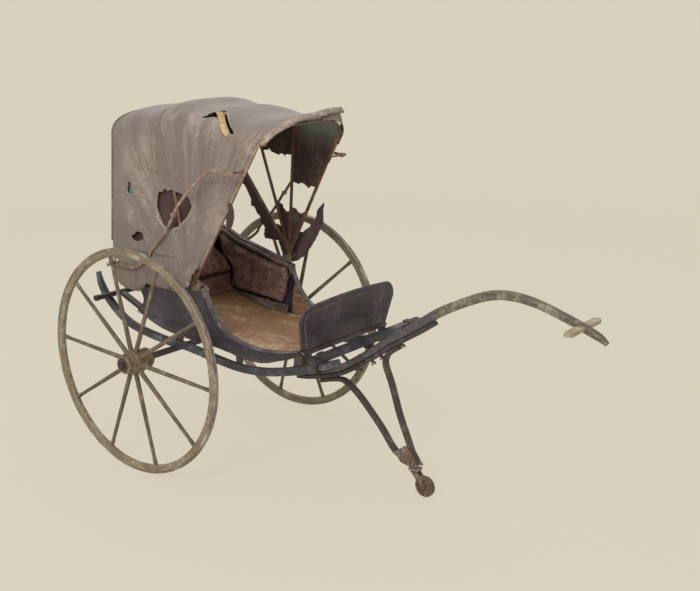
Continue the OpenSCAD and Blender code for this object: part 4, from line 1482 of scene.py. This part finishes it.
        def where(a: float, b: float) -> Vector:
            """Where the cloth lies.

            Args:
                a: Share across.
                b: Share along.

            Returns:
                The place.
            """
            at = spot(20 + 370 * a, 386, 286 + 360 * b)
            at.y += 0.010 * math.sin(math.pi * b) * math.sin(math.pi * a) + 0.002 * noise.noise(at * 12)
            return at

        def keep(a: float, b: float, at: Vector) -> bool:
            """Whether the cloth is whole."""
            return inside(flat_of(at + Vector((0.005 * noise.noise(at * 25), 0, 0.010 * noise.noise(at * 22)))),
                          outline)

        mesh = self.grid(60, 60, where, lambda a, b, at: (0.0, 0.0, 0.35), keep)
        made = self.cloth("far_pocket", mesh, "lining", CANVAS, LINING, 0.002)
        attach(made, "chassis")
        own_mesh(made)

    def inner_flap(self) -> None:
        """A dark flap of lining that hangs inside the right front bow."""
        outline = [(392, 742), (414, 730), (424, 694), (418, 650), (394, 606), (368, 604), (366, 690)]

        def where(a: float, b: float) -> Vector:
            """Where the cloth lies.

            Args:
                a: Share across.
                b: Share along.

            Returns:
                The place.
            """
            at = spot(350 + 90 * a, -322, 595 + 155 * b)
            at.y += 0.003 * noise.noise(at * 15)
            return at

        mesh = self.grid(20, 30, where, lambda a, b, at: (0.0, 0.0, 0.4), lambda a, b,
                         at: inside(flat_of(at), outline))
        made = self.cloth("inner_flap", mesh, "lining", CURTAIN, CURTAIN, self.thin)
        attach(made, "bow_front")

    def irons(self) -> None:
        """Bolts, ball studs and knuckles of the hood irons, and the pivot bolts."""
        for side, tag in SIDES:
            out = Vector((0, side, 0))
            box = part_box("hood_iron_lower")
            y = abs(box[0][1]) * side
            stud = joint_place("lower_iron_fold")
            stud = Vector((stud.x, y, stud.z))
            rings = [(-8, 0), (-8, 6), (2, 7.5), (6, 7.5), (7, 5.5), (11, 5.5), (12, 7), (16, 7), (17, 5), (20, 5),
                     (22, 9),
                     (27, 11.5), (32, 11), (36, 7.5), (38, 0)]
            self.dress.piece(f"ball_stud_{tag}", turned(out, stud, rings, 20), "chassis", "iron", HOOD_IRON)
            upper = abs(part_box("hood_iron_upper")[0][1]) * side
            knee = joint_place("upper_iron_fold")
            knuckle = turned(out, Vector((knee.x, upper, knee.z)),
                             [(-2, 0), (-2, 10), (3, 11.5), (6, 9), (7, 6), (10, 5), (11, 0)], 20)
            self.dress.piece(f"iron_knuckle_{tag}", knuckle, "lower_irons", "rusty_iron", HOOD_IRON)
            far = spot(479.7, 0, 884.7)
            rings = [(-44, 0), (-44, 4), (-5, 4), (-5, 9), (4, 12), (8, 9), (13, 9), (14, 5), (19, 5), (20, 8),
                     (25, 8), (26, 0)]
            self.dress.piece(f"bow_bolt_{tag}", turned(out, Vector((far.x, upper, far.z)), rings, 20), "bow_front",
                             "iron",
                             HOOD_IRON)
            pivot = Vector((PIVOT.x, abs(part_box("hood_pivots")[0][1]) * side, PIVOT.z))
            self.dress.piece(f"pivot_cap_{tag}",
                             turned(out, pivot, [(-3, 0), (-3, 11), (3, 12), (7, 8), (8, 4), (11, 3), (12, 0)], 20),
                             "chassis", "iron", HOOD_IRON)

    def build(self) -> None:
        """Dresses the bows and irons and makes every soft part."""
        self.dress.node(BOW_WOOD, "bow_front", "bow_second", "bow_third", "bow_rear")
        self.dress.node(HOOD_IRON, "hood_iron_lower", "hood_iron_upper", "hood_pivots", "iron_studs")
        self.gap(0, "canvas_over_the_front", 0.735, "canvas_front")
        self.gap(1, "canvas_over_the_middle", 0.63, "canvas_middle")
        self.gap(2, "canvas_over_the_rear", 0.58, "canvas_rear")
        self.quarter()
        self.curtain()
        self.piping()
        self.front_roll()
        self.inner_lining()
        self.rear_lining()
        self.far_pocket()
        self.inner_flap()
        self.irons()


# ---- the body ----


@dataclass
class Body:
    """The lacquered tub: panels, floor, dash, edge trims, leather pads, lining and painted lines."""

    dress: Dresser
    half: float = 0.326
    inner: float = 0.3137
    voxel: float = 0.0055
    shrink: float = 0.003
    swell: float = 0.012
    push: float = 3.5
    steps: int = 20
    dash_lean: float = math.radians(8)
    dash_thick: float = 0.016
    rear_stripe: tuple[Point, ...] = ((-338, 327), (-300, 312), (-252, 288), (-205, 262), (-160, 239))
    gilt: tuple[tuple[Point, ...], ...] = (((-265, 103), (-150, 82), (-29, 57), (70, 34), (176, 14)),
                                           ((342, 12), (460, 6), (577, 8), (700, 34), (788, 68)))

    def panels(self) -> None:
        """Gives the hard nodes their finishes."""
        self.dress.node(BODY_LACQUER, "side_panel_right", "side_panel_left", "back_panel")
        self.dress.node(FLOOR_WOOD, "floor_board", "seat_board")
        self.dress.node(DASH_HIDE, "dashboard")
        self.dress.node(TRIM_PAINT, "trim_strips")

    def lines(self) -> None:
        """The pale line down the rear edge and the gilt line along the bottom, on both sides."""
        for side, tag in SIDES:
            y = side * (self.half * 1000 + 0.7)
            rows = curved([(x, r) for x, r in self.rear_stripe], 4)
            pale = [strand([spot(x + 9 * k, y, r - 7 * k) for x, r in rows], 0.0018, 0.5) for k in (0, 1)]
            self.dress.piece(f"pale_lines_{tag}", joined(pale), "chassis", "trim", PALE_LINE)
            gilt = [strand([spot(x, y, r + 9) for x, r in curved(list(rows), 5)], 0.0022, 0.5) for rows in self.gilt]
            self.dress.piece(f"gilt_lines_{tag}", joined(gilt), "chassis", "trim", GILT_LINE)

    def pad_from(self, node: str) -> bpy.types.Mesh:
        """Swells a CAD pad into a stuffed one by a short cloth simulation.

        It is drawn in by the shrink first, and no point moves further than the swell.

        Args:
            node: The CAD node.

        Returns:
            The swollen mesh.
        """
        build = bmesh.new()
        build.from_mesh(FRAME["nodes"][node].data)
        bmesh.ops.remove_doubles(build, verts=build.verts, dist=1e-5)
        bmesh.ops.recalc_face_normals(build, faces=build.faces)
        build.normal_update()
        form = bpy.data.objects.new(node + "_form", ended(build, node + "_form"))
        link(form)
        voxels = form.modifiers.new("voxels", "REMESH")
        voxels.mode = "VOXEL"
        voxels.voxel_size = self.voxel
        graph = bpy.context.evaluated_depsgraph_get()
        grid = bpy.data.meshes.new_from_object(form.evaluated_get(graph))
        bpy.data.objects.remove(form)
        build = bmesh.new()
        build.from_mesh(grid)
        relaxed(build, build.verts, 6)
        build.normal_update()
        for v in build.verts:
            v.co -= v.normal * self.shrink
        build.to_mesh(grid)
        build.free()
        before = [v.co.copy() for v in grid.vertices]
        soft = bpy.data.objects.new(node + "_soft", grid)
        link(soft)
        cloth = soft.modifiers.new("cloth", "CLOTH")
        cloth.settings.use_pressure = True
        cloth.settings.uniform_pressure_force = self.push
        cloth.settings.effector_weights.gravity = 0
        cloth.settings.tension_stiffness = 12
        for frame in range(1, self.steps + 1):
            bpy.context.scene.frame_set(frame)
        after = bpy.data.meshes.new_from_object(soft.evaluated_get(bpy.context.evaluated_depsgraph_get()))
        for v, old, new in zip(grid.vertices, before, after.vertices):
            move = new.co - old
            v.co = old + move * min(1, self.swell / max(move.length, 1e-9))
        bpy.data.objects.remove(soft)
        bpy.data.meshes.remove(after)
        bpy.context.scene.frame_set(1)
        return grid

    def pads(self) -> None:
        """The stuffed arms and back, creased and worn, with a piping along the top of each arm."""
        top = [(-300, 455), (-250, 441), (-194, 419), (-138, 396), (-69, 379), (0, 362), (65, 345), (130, 328),
               (203, 313)]
        for side, tag in SIDES:
            mesh = self.pad_from(f"arm_pad_{tag}")
            for v in mesh.vertices:
                crease = noise.fractal(Vector((v.co.x * 11, side * 3, v.co.z * 5)), 0.9, 2.0, 3)
                v.co.y -= side * 0.0016 * crease
                v.co.y = side * min(abs(v.co.y), self.inner - 0.0006)
            mesh.update()
            made = self.dress.piece(f"stuffed_arm_{tag}", mesh, "chassis", "leather", HIDE)
            self.finer(made)
            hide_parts(f"arm_pad_{tag}")
            y = side * (self.inner * 1000 - 15)
            rows = [spot(x, y, r - 12.5 + ripple(x * 0.02, y, 1)) for x, r in curved(top, 4)]
            self.dress.piece(f"arm_roll_{tag}", strand(rows, 0.0118, 1.0, 0, 16), "chassis", "leather", HIDE)
            rows = [spot(x, side * (self.inner * 1000 - 27), r - 5) for x, r in curved(top, 4)]
            self.dress.piece(f"arm_piping_{tag}", strand(rows, 0.0032), "chassis", "leather", PIPING_DARK)
        mesh = self.pad_from("back_pad")
        for v in mesh.vertices:
            row = (v.co.y + 0.28) / 0.112
            channel = math.cos(2 * math.pi * (row - 0.5)) ** 8 if 0.3 < row < 4.7 else 0
            crease = noise.fractal(Vector((5, v.co.y * 11, v.co.z * 6)), 0.9, 2.0, 3)
            v.co.x -= 0.0018 * crease + 0.004 * channel * smooth((v.co.x - (-1.09)) / 0.03)
        mesh.update()
        made = self.dress.piece("stuffed_back", mesh, "chassis", "leather", HIDE_RED)
        self.finer(made)
        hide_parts("back_pad")

    def finer(self, made: bpy.types.Object) -> None:
        """Smooths a pad with one subdivision.

        Args:
            made: The pad.
        """
        for polygon in made.data.polygons:
            polygon.use_smooth = True
        soft = made.modifiers.new("soft", "SUBSURF")
        soft.levels = soft.render_levels = 1

    def side_cloth(self, name: str, rows: list[Point], y: float) -> None:
        """The thin lining below an arm, from an outline.

        Args:
            name: Name of the piece.
            rows: Its outline of distance forward and rise, in millimetres.
            y: Where its outer face lies, in metres from the middle, with its side.
        """
        build = bmesh.new()
        low = (min(p[0] for p in rows), min(p[1] for p in rows))
        high = (max(p[0] for p in rows), max(p[1] for p in rows))
        cells = (int((high[0] - low[0]) / 6) + 1, int((high[1] - low[1]) / 6) + 1)
        bmesh.ops.create_grid(build, x_segments=cells[0], y_segments=cells[1], size=0.5)
        for v in build.verts:
            at = spot(low[0] + (v.co.x + 0.5) * (high[0] - low[0]), 0, low[1] + (v.co.y + 0.5) * (high[1] - low[1]))
            wave = (0.002 * noise.fractal(Vector((at.x * 13, y * 9, at.z * 8)), 0.8, 2.0, 3)
                    + 0.006 * math.sin(math.pi * (v.co.y + 0.5)))
            v.co = Vector((at.x, y - math.copysign(0.001 + abs(wave), y), at.z))
        gone = [f for f in build.faces if not inside(flat_of(f.calc_center_median()), rows)]
        bmesh.ops.delete(build, geom=gone, context="FACES")
        edge = [v for v in build.verts if any(len(e.link_faces) == 1 for e in v.link_edges)]
        relaxed(build, edge, 3)
        for face in build.faces:
            face.normal_update()
            if face.normal.y * y > 0:
                face.normal_flip()
            face.smooth = True
        mesh = ended(build, name)
        made = self.dress.piece(name, mesh, "chassis", "lining", LINING_GREY)
        wall = made.modifiers.new("wall", "SOLIDIFY")
        wall.thickness = 0.0016
        wall.offset = 1

    def lining(self) -> None:
        """Lower lining, and the bare panel in front of each arm with its pale border."""
        for side, tag in SIDES:
            face = side * (self.inner - 0.0004)
            low = curved([(-205, 121), (-100, 94), (30, 60), (110, 44), (205, 28)], 3)
            high = [(216, 92), (170, 97), (40, 104), (-60, 112), (-160, 120), (-205, 134)]
            self.side_cloth(f"lower_lining_{tag}", [*low, *high], side * 0.2905)
            board = [(222, 60), (226, 140), (240, 206), (262, 172), (292, 138), (338, 102), (330, 60), (270, 34)]
            self.thin_board(f"bare_panel_{tag}", board, face)
            rim = [spot(x, face * 1000 - side * 3, r) for x, r in curved([*board, board[0]], 4)]
            self.dress.piece(f"panel_border_{tag}", strand(rim, 0.0022, 0.7), "chassis", "trim", PALE_LINE)

    def seat_back(self) -> None:
        """The leather fall from the stuffed back down to the seat board, with a roll along its foot."""
        rows = [(-188, 124), (-189, 142), (-190, 162), (-192, 184), (-194, 207)]
        build = bmesh.new()
        bmesh.ops.create_grid(build, x_segments=90, y_segments=16, size=0.5)
        fine = curved(rows, 4)
        for v in build.verts:
            x, rise = fine[round((v.co.y + 0.5) * (len(fine) - 1))]
            wave = 0.002 * noise.fractal(Vector((v.co.x * 9, v.co.y * 2, 8)), 0.8, 2.0, 3)
            v.co = spot(x + 1000 * wave, v.co.x * 556, rise)
        for face in build.faces:
            face.smooth = True
            face.normal_update()
            if face.normal.x < 0:
                face.normal_flip()
        made = self.dress.piece("back_fall", ended(build), "chassis", "leather", HIDE_RED)
        made.modifiers.new("wall", "SOLIDIFY").thickness = 0.0018
        roll = [spot(-182 + 1.5 * ripple(k * 0.3, 0, 1), -278 + 556 * k / 40, 127) for k in range(41)]
        self.dress.piece("seat_roll", strand(roll, 0.0095, 0.9, 0, 12), "chassis", "leather", HIDE)

    def thin_board(self, name: str, rows: list[Point], y: float, thick: float = 0.002) -> None:
        """A thin board laid on the inside of a side panel.

        Args:
            name: Name of the piece.
            rows: Its outline in millimetres.
            y: Where its back lies, in metres.
            thick: Thickness in metres.
        """
        build = bmesh.new()
        verts = [build.verts.new(spot(x, y * 1000, r)) for x, r in rows]
        flat = build.faces.new(verts)
        grown = bmesh.ops.extrude_face_region(build, geom=[flat])["geom"]
        bmesh.ops.translate(build, vec=(0, -math.copysign(thick, y), 0),
                            verts=[g for g in grown if isinstance(g, bmesh.types.BMVert)])
        self.dress.piece(name, closed(build, False), "chassis", "floor_wood", PANEL_WOOD)

    def dash_trim(self) -> None:
        """Bound edge and double pale line of the dash, set by the dash node's own box."""
        low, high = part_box("dashboard")
        lean, thick = self.dash_lean, self.dash_thick
        foot = Vector((high[0] - thick * math.cos(lean)
                       - (high[2] - low[2] - thick * math.sin(lean)) * math.sin(lean), 0,
                       low[2] + thick * math.sin(lean)))
        up, out = Vector((math.sin(lean), 0, math.cos(lean))), Vector((math.cos(lean), 0, -math.sin(lean)))

        def outline(inset: float) -> list[Vector]:
            """The dash's edge, from one foot over the top to the other.

            Args:
                inset: How far it is drawn in, in metres.

            Returns:
                Its points.
            """
            half, foot_y, tall, corner = 0.349 - inset, 0.313 - inset, 0.210 - inset, 0.070 - inset
            side = [(foot_y + (half - foot_y) * k / 6, 0.012 + (tall - corner - 0.012) * k / 6) for k in range(6)]
            side += [(half - corner + corner * math.cos(math.radians(a)),
                      tall - corner + corner * math.sin(math.radians(a)))
                     for a in range(0, 81, 10)]
            side += [((half - corner) * (1 - k / 10), 0.222 - inset - 0.012 * (1 - k / 10) ** 2)
                     for k in range(1, 11)]
            rows = side + [(-y, z) for y, z in reversed(side[:-1])]
            return [foot + Vector((0, y, 0)) + up * z for y, z in rows]

        self.dress.piece("dash_binding",
                         strand([p + out * 0.008 for p in outline(0.0045)], 0.0112, 0.55, math.pi / 2, 12),
                         "chassis", "trim", BINDING)
        lines = []
        for face, sense in ((0.0163, 1), (-0.0003, -1)):
            for inset in (0.020, 0.026):
                lines.append(strand([p + out * face for p in outline(inset)], 0.0011, 0.5))
        self.dress.piece("dash_lines", joined(lines), "chassis", "trim", PALE_LINE)

    def fittings(self) -> None:
        """Bolts through the blocks and sides, the lacquered nose on the floor's front edge, and wraps of the arm
        front.
        """
        bolts = []
        for side, tag in SIDES:
            out = Vector((0, side, 0))
            for x, r, size in ((-180, 128, 0.8), (-60, 84, 0.8), (60, 60, 0.8), (330, 30, 0.8), (560, 30, 0.8),
                               (700, 56, 0.8),
                               (280, 122, 0.7), (420, 56, 0.7)):
                start = spot(x, side * 500, r)
                hit, place, _, _ = FRAME["nodes"][f"side_panel_{tag}"].ray_cast(start, -out, distance=0.19)
                if hit:
                    bolts.append(bolt(place, out, size))
            low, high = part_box("spacer_blocks")
            for x in (low[0] + 0.04, high[0] - 0.04):
                for z in (low[2] + 0.01, (low[2] + high[2]) / 2, high[2] - 0.02):
                    hit, place, _, _ = FRAME["nodes"]["spacer_blocks"].ray_cast(
                        Vector((x, side * 0.5, z)), -out, distance=0.19)
                    if hit:
                        bolts.append(bolt(place, out, 0.7))
                        break
        low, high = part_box("floor_board")
        nose = cut_block(Vector((high[0] + 0.0002, low[1], high[2] - 0.0165)),
                         Vector((high[0] + 0.0022, high[1], high[2] + 0.0008)),
                         0.0006)
        self.dress.piece("floor_nose", nose, "chassis", "body_paint", BODY_LACQUER)
        self.dress.piece("side_bolts", joined(bolts), "chassis", "iron", DARK_IRON)
        for side, tag in SIDES:
            wraps = []
            for k in range(7):
                at = spot(208 + 2.2 * k, 0, 300 - 6.5 * k)
                ring = []
                for q in range(16):
                    t = 2 * math.pi * q / 16
                    y = side * (self.half - 0.008 + 0.0175 * math.cos(t))
                    ring.append(Vector((at.x + 0.0015 * ripple(k, q * 0.4, 3) + 0.011 * math.sin(t), y,
                                        at.z + 0.009 * math.sin(t))))
                wraps.append(strand(ring, 0.0026 + 0.0008 * ripple(k * 1.7, side, 1), loop=True))
            self.dress.piece(f"arm_wrap_{tag}", joined(wraps), "chassis", "canvas", PIPING_DARK)

    def build(self) -> None:
        """Dresses the nodes and adds every piece of the body."""
        self.panels()
        self.lines()
        self.pads()
        self.lining()
        self.seat_back()
        self.dash_trim()
        self.fittings()


# ---- wheels, rails and the caster ----


@dataclass
class Running:
    """Wheels, axle, rails, crossbars and their fittings."""

    dress: Dresser
    wheel_y: float = 0.595
    rim_half: float = 0.0135
    hub_end: float = 0.661
    nut_seat: float = 0.6752
    bolt_circle: float = 0.523

    def wheels(self) -> None:
        """Finishes the wheels and adds hub rings, hub bands, centre nuts and tyre bolts."""
        centre = joint_place("wheel_right_spin")
        for side, tag in SIDES:
            self.dress.node(HUB_WOOD, f"hub_{tag}")
            self.dress.node(SPOKE_WOOD, f"spokes_{tag}")
            self.dress.node(RIM_PAINT, f"rim_{tag}")
            self.dress.node(TYRE_WORN, f"tyre_{tag}")
            out, body = Vector((0, side, 0)), f"wheel_{tag}"
            end = Vector((centre.x, side * self.hub_end, centre.z))
            cap = turned(out, end, [(-3, 33), (0.5, 33), (2, 32), (2.5, 29), (1.5, 27)], 40)
            self.dress.piece(f"hub_ring_{tag}", cap, body, "iron", DARK_IRON)
            bands = [turned(out, Vector((centre.x, side * (self.wheel_y + y), centre.z)),
                            [(-3.5, 40), (-3.5, r), (-2.5, r + 1.6), (2.5, r + 1.6), (3.5, r), (3.5, 40)], 48)
                     for y, r in ((0.040, 46.5), (-0.066, 43.0))]
            self.dress.piece(f"hub_bands_{tag}", joined(bands), body, "iron", DARK_IRON)
            studs = []
            for k in range(10):
                turn = math.radians(18 + 36 * k)
                place = centre + Vector((math.cos(turn) * self.bolt_circle, 0, math.sin(turn) * self.bolt_circle))
                for face in (-1, 1):
                    seat = Vector((place.x, side * self.wheel_y + face * (self.rim_half + 0.0001), place.z))
                    studs.append(bolt(seat, Vector((0, face, 0)), 0.55))
            self.dress.piece(f"rim_bolts_{tag}", joined(studs), body, "iron", RUST_IRON)
            nut = turned(Vector((0, side, 0)), Vector((centre.x, side * self.nut_seat, centre.z)),
                         [(-14, 0), (-14, 15), (-6, 15), (-5, 12), (0, 11.5), (1.5, 9), (1.5, 0)], 6)
            self.dress.piece(f"axle_nut_{tag}", nut, "chassis", "iron", DARK_IRON)

    def frame(self) -> None:
        """Finishes the rails, crossbars, brackets, blocks and caster."""
        self.dress.node(RAIL_PAINT, "rail_right", "rail_left")
        self.dress.node(CROSSBAR_PAINT, "rear_crossbar", "front_crossbar")
        self.dress.node(DARK_IRON, "axle", "rear_brackets", "rail_bands")
        self.dress.node(BLOCK_WOOD, "spacer_blocks")
        self.dress.node(RUST_IRON, "caster_fork", "caster_wheel")

    def ends(self) -> None:
        """Iron ferrules with domed ends on the crossbars, and the bolts that hold them to the rails."""
        low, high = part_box("rear_crossbar")
        x, z, y = (low[0] + high[0]) / 2, (low[2] + high[2]) / 2, high[1]
        caps = []
        for side in (-1, 1):
            caps.append(turned(Vector((0, side, 0)), Vector((x, side * (y - 0.022), z)),
                               [(0, 14), (0, 14.9), (1, 15.2), (18, 15.2), (19, 14.6), (22, 12), (23, 8), (23, 0)],
                               28))
            caps.append(turned(Vector((0, side, 0)), Vector((x, side * 0.350, z)),
                               [(0, 14), (0, 15.5), (3, 16.5), (6, 15.5), (6, 14)], 28))
        self.dress.piece("rear_bar_ferrules", joined(caps), "chassis", "iron", DARK_IRON)
        low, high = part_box("front_crossbar")
        x, z, y = (low[0] + high[0]) / 2, (low[2] + high[2]) / 2, high[1]
        heads = []
        for side in (-1, 1):
            heads.append(turned(Vector((0, side, 0)), Vector((x, side * y, z)),
                                [(-2, 0), (-2, 12.5), (0, 13), (0.4, 9), (0.4, 0)], 20))
            heads.append(bolt(Vector((x, side * 0.388, z + (high[2] - low[2]) / 2)), Vector((0, 0, 1)), 0.9))
            heads.append(bolt(Vector((x - (high[0] - low[0]) / 2, side * 0.372, z)), Vector((-1, 0, 0)), 0.7))
        self.dress.piece("front_bar_bolts", joined(heads), "chassis", "iron", DARK_IRON)

    def build(self) -> None:
        """Dresses and adds every running part."""
        self.wheels()
        self.frame()
        self.ends()


@dataclass
class Shafts:
    """The pole with its splice, wing nuts and cross handle, and the prop with its gusset.

    The splice's bolts are placed in wheel radii forward of the axle.
    """

    dress: Dresser
    wheel_r: float = 0.55
    bolts_at: tuple[float, ...] = (1.62, 1.76, 1.85, 1.95, 2.06)
    gusset_foot: Point = (0.395, 0.130)

    def ray_up(self, node: str, x: float, from_below: bool = True) -> tuple[Vector, Vector] | None:
        """Finds a CAD node's surface below or above the pole's middle line.

        Args:
            node: The CAD node.
            x: Where along the part, in metres.
            from_below: Look up from the ground, or down from above.

        Returns:
            The point and its outward normal, or nothing.
        """
        start = Vector((x, 0.0005, -0.1 if from_below else 3.0))
        way = Vector((0, 0, 1 if from_below else -1))
        hit, place, normal, _ = FRAME["nodes"][node].ray_cast(start, way)
        return (place, normal) if hit else None

    def build(self) -> None:
        """Dresses the nodes and adds the wing nuts, bolts, handle pin and gusset rivets."""
        self.dress.node(POLE_WOOD, "pole")
        self.dress.node(SPLICE_WOOD, "pole_splice")
        self.dress.node(HANDLE_WOOD, "cross_handle")
        self.dress.node(LEG_IRON, "prop_leg_front", "prop_leg_rear")
        self.dress.node(GUSSET_PLATE, "prop_gusset")
        self.dress.node(DARK_IRON, "pole_hangers")
        nuts, heads = [], []
        for radii in self.bolts_at:
            x = WHEEL_AXIS[0] + radii * self.wheel_r
            found = self.ray_up("pole_splice", x)
            if found:
                nuts.append(wing_nut(found[0], found[1].normalized()))
            above = self.ray_up("pole", x, False)
            if above:
                heads.append(bolt(above[0], above[1].normalized(), 0.8))
        self.dress.piece("splice_wing_nuts", joined(nuts), "chassis", "iron", RUST_IRON)
        self.dress.piece("splice_bolt_heads", joined(heads), "chassis", "iron", DARK_IRON)
        low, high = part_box("cross_handle")
        middle = Vector(((low[0] + high[0]) / 2, 0, high[2]))
        pin = bolt(middle + Vector((0, 0, 0.0001)), Vector((0, 0, 1)), 0.7)
        self.dress.piece("handle_pin", pin, "chassis", "iron", DARK_IRON)
        studs = []
        (x, z), high = self.gusset_foot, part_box("prop_gusset")[1]
        for side in (-1, 1):
            for dx, dz in ((-0.045, 0.072), (-0.02, 0.045), (0.018, 0.03), (0.044, 0.016)):
                studs.append(bolt(Vector((x + dx, side * high[1], z + dz)), Vector((0, side, 0)), 0.55))
        self.dress.piece("gusset_rivets", joined(studs), "chassis", "rusty_iron", LEG_IRON)


@dataclass
class Studio:
    """Pale floor, soft light and the camera."""

    paper: Colour = srgb(217, 209, 190)
    azimuth: float = 37.575
    elevation: float = 14.722
    distance: float = 5.111
    lens: float = 56.74
    lamp_size: float = 3.0
    target: Vector = field(default_factory=lambda: Vector((0.051, 0, 0.886)))
    lit: Vector = field(default_factory=lambda: Vector((0, 0, 0.8)))

    def floor(self) -> None:
        """A wide floor that shows its own pale colour and keeps a soft shadow."""
        build = bmesh.new()
        bmesh.ops.create_grid(build, x_segments=1, y_segments=1, size=400)
        mesh = ended(build, "floor")
        made = bpy.data.objects.new("floor", mesh)
        link(made)
        material = bpy.data.materials.new("floor_paper")
        material.use_nodes = True
        wire = Wiring(material.node_tree)
        shader = material.node_tree.nodes["Principled BSDF"]
        shader.inputs["Base Color"].default_value = (*self.paper, 1)
        shader.inputs["Roughness"].default_value = 0.95
        glow = wire.node("ShaderNodeEmission", Color=(*self.paper, 1))
        where = wire.tree.nodes.new("ShaderNodeTexCoord")
        away = wire.node("ShaderNodeVectorMath", Vector=where.outputs["Object"])
        away.operation = "LENGTH"
        glowing = wire.maths("ADD", wire.maths("MULTIPLY", wire.ramp(away.outputs["Value"], 3.0, 14.0), 0.14), 0.86)
        wire.mixed(wire.maths("MULTIPLY", wire.stage_rays(), glowing), shader, glow, "Material Output")
        mesh.materials.append(material)

    def light(self) -> None:
        """An even world and one soft key lamp from the front left of the view."""
        world = bpy.data.worlds.new("studio")
        world.use_nodes = True
        bpy.context.scene.world = world
        wire = Wiring(world.node_tree)
        seen = world.node_tree.nodes["Background"]
        seen.inputs["Color"].default_value = (*self.paper, 1)
        fill = wire.node("ShaderNodeBackground", Color=(1.0, 0.985, 0.96, 1), Strength=0.72)
        wire.mixed(wire.stage_rays(), fill, seen, "World Output")
        for name, place, power in (("key", Vector((1.6, -5.2, 4.6)), 230.0), ("rim", Vector((-3.4, 2.5, 4.2)), 50.0)):
            lamp = bpy.data.lights.new(name, "AREA")
            lamp.size = self.lamp_size
            lamp.energy = power
            made = bpy.data.objects.new(name, lamp)
            made.location = place
            made.rotation_euler = (self.lit - place).to_track_quat("-Z", "Y").to_euler()
            link(made)

    def camera(self) -> None:
        """The camera, from the front right and a little above."""
        a, e = math.radians(self.azimuth), math.radians(self.elevation)
        back = Vector((math.sin(a) * math.cos(e), -math.cos(a) * math.cos(e), math.sin(e)))
        data = bpy.data.cameras.new("camera")
        data.lens = self.lens
        data.sensor_width = 36
        made = bpy.data.objects.new("camera", data)
        made.location = self.target + back * self.distance
        made.rotation_euler = (-back).to_track_quat("-Z", "Y").to_euler()
        link(made)
        bpy.context.scene.camera = made

    def build(self) -> None:
        """Sets the whole stage."""
        bpy.context.scene.view_settings.view_transform = "Standard"
        self.camera()
        self.floor()
        self.light()


def main() -> None:
    """Builds every sub-assembly in order."""
    logging.basicConfig(level=logging.INFO, format="%(message)s")
    Studio().build()
    dress = Dresser()
    for part in (Running(dress), Body(dress), Shafts(dress), Hood(dress)):
        part.build()
        LOG.info("%s is built", type(part).__name__.lower())


if __name__ == "__main__":
    main()
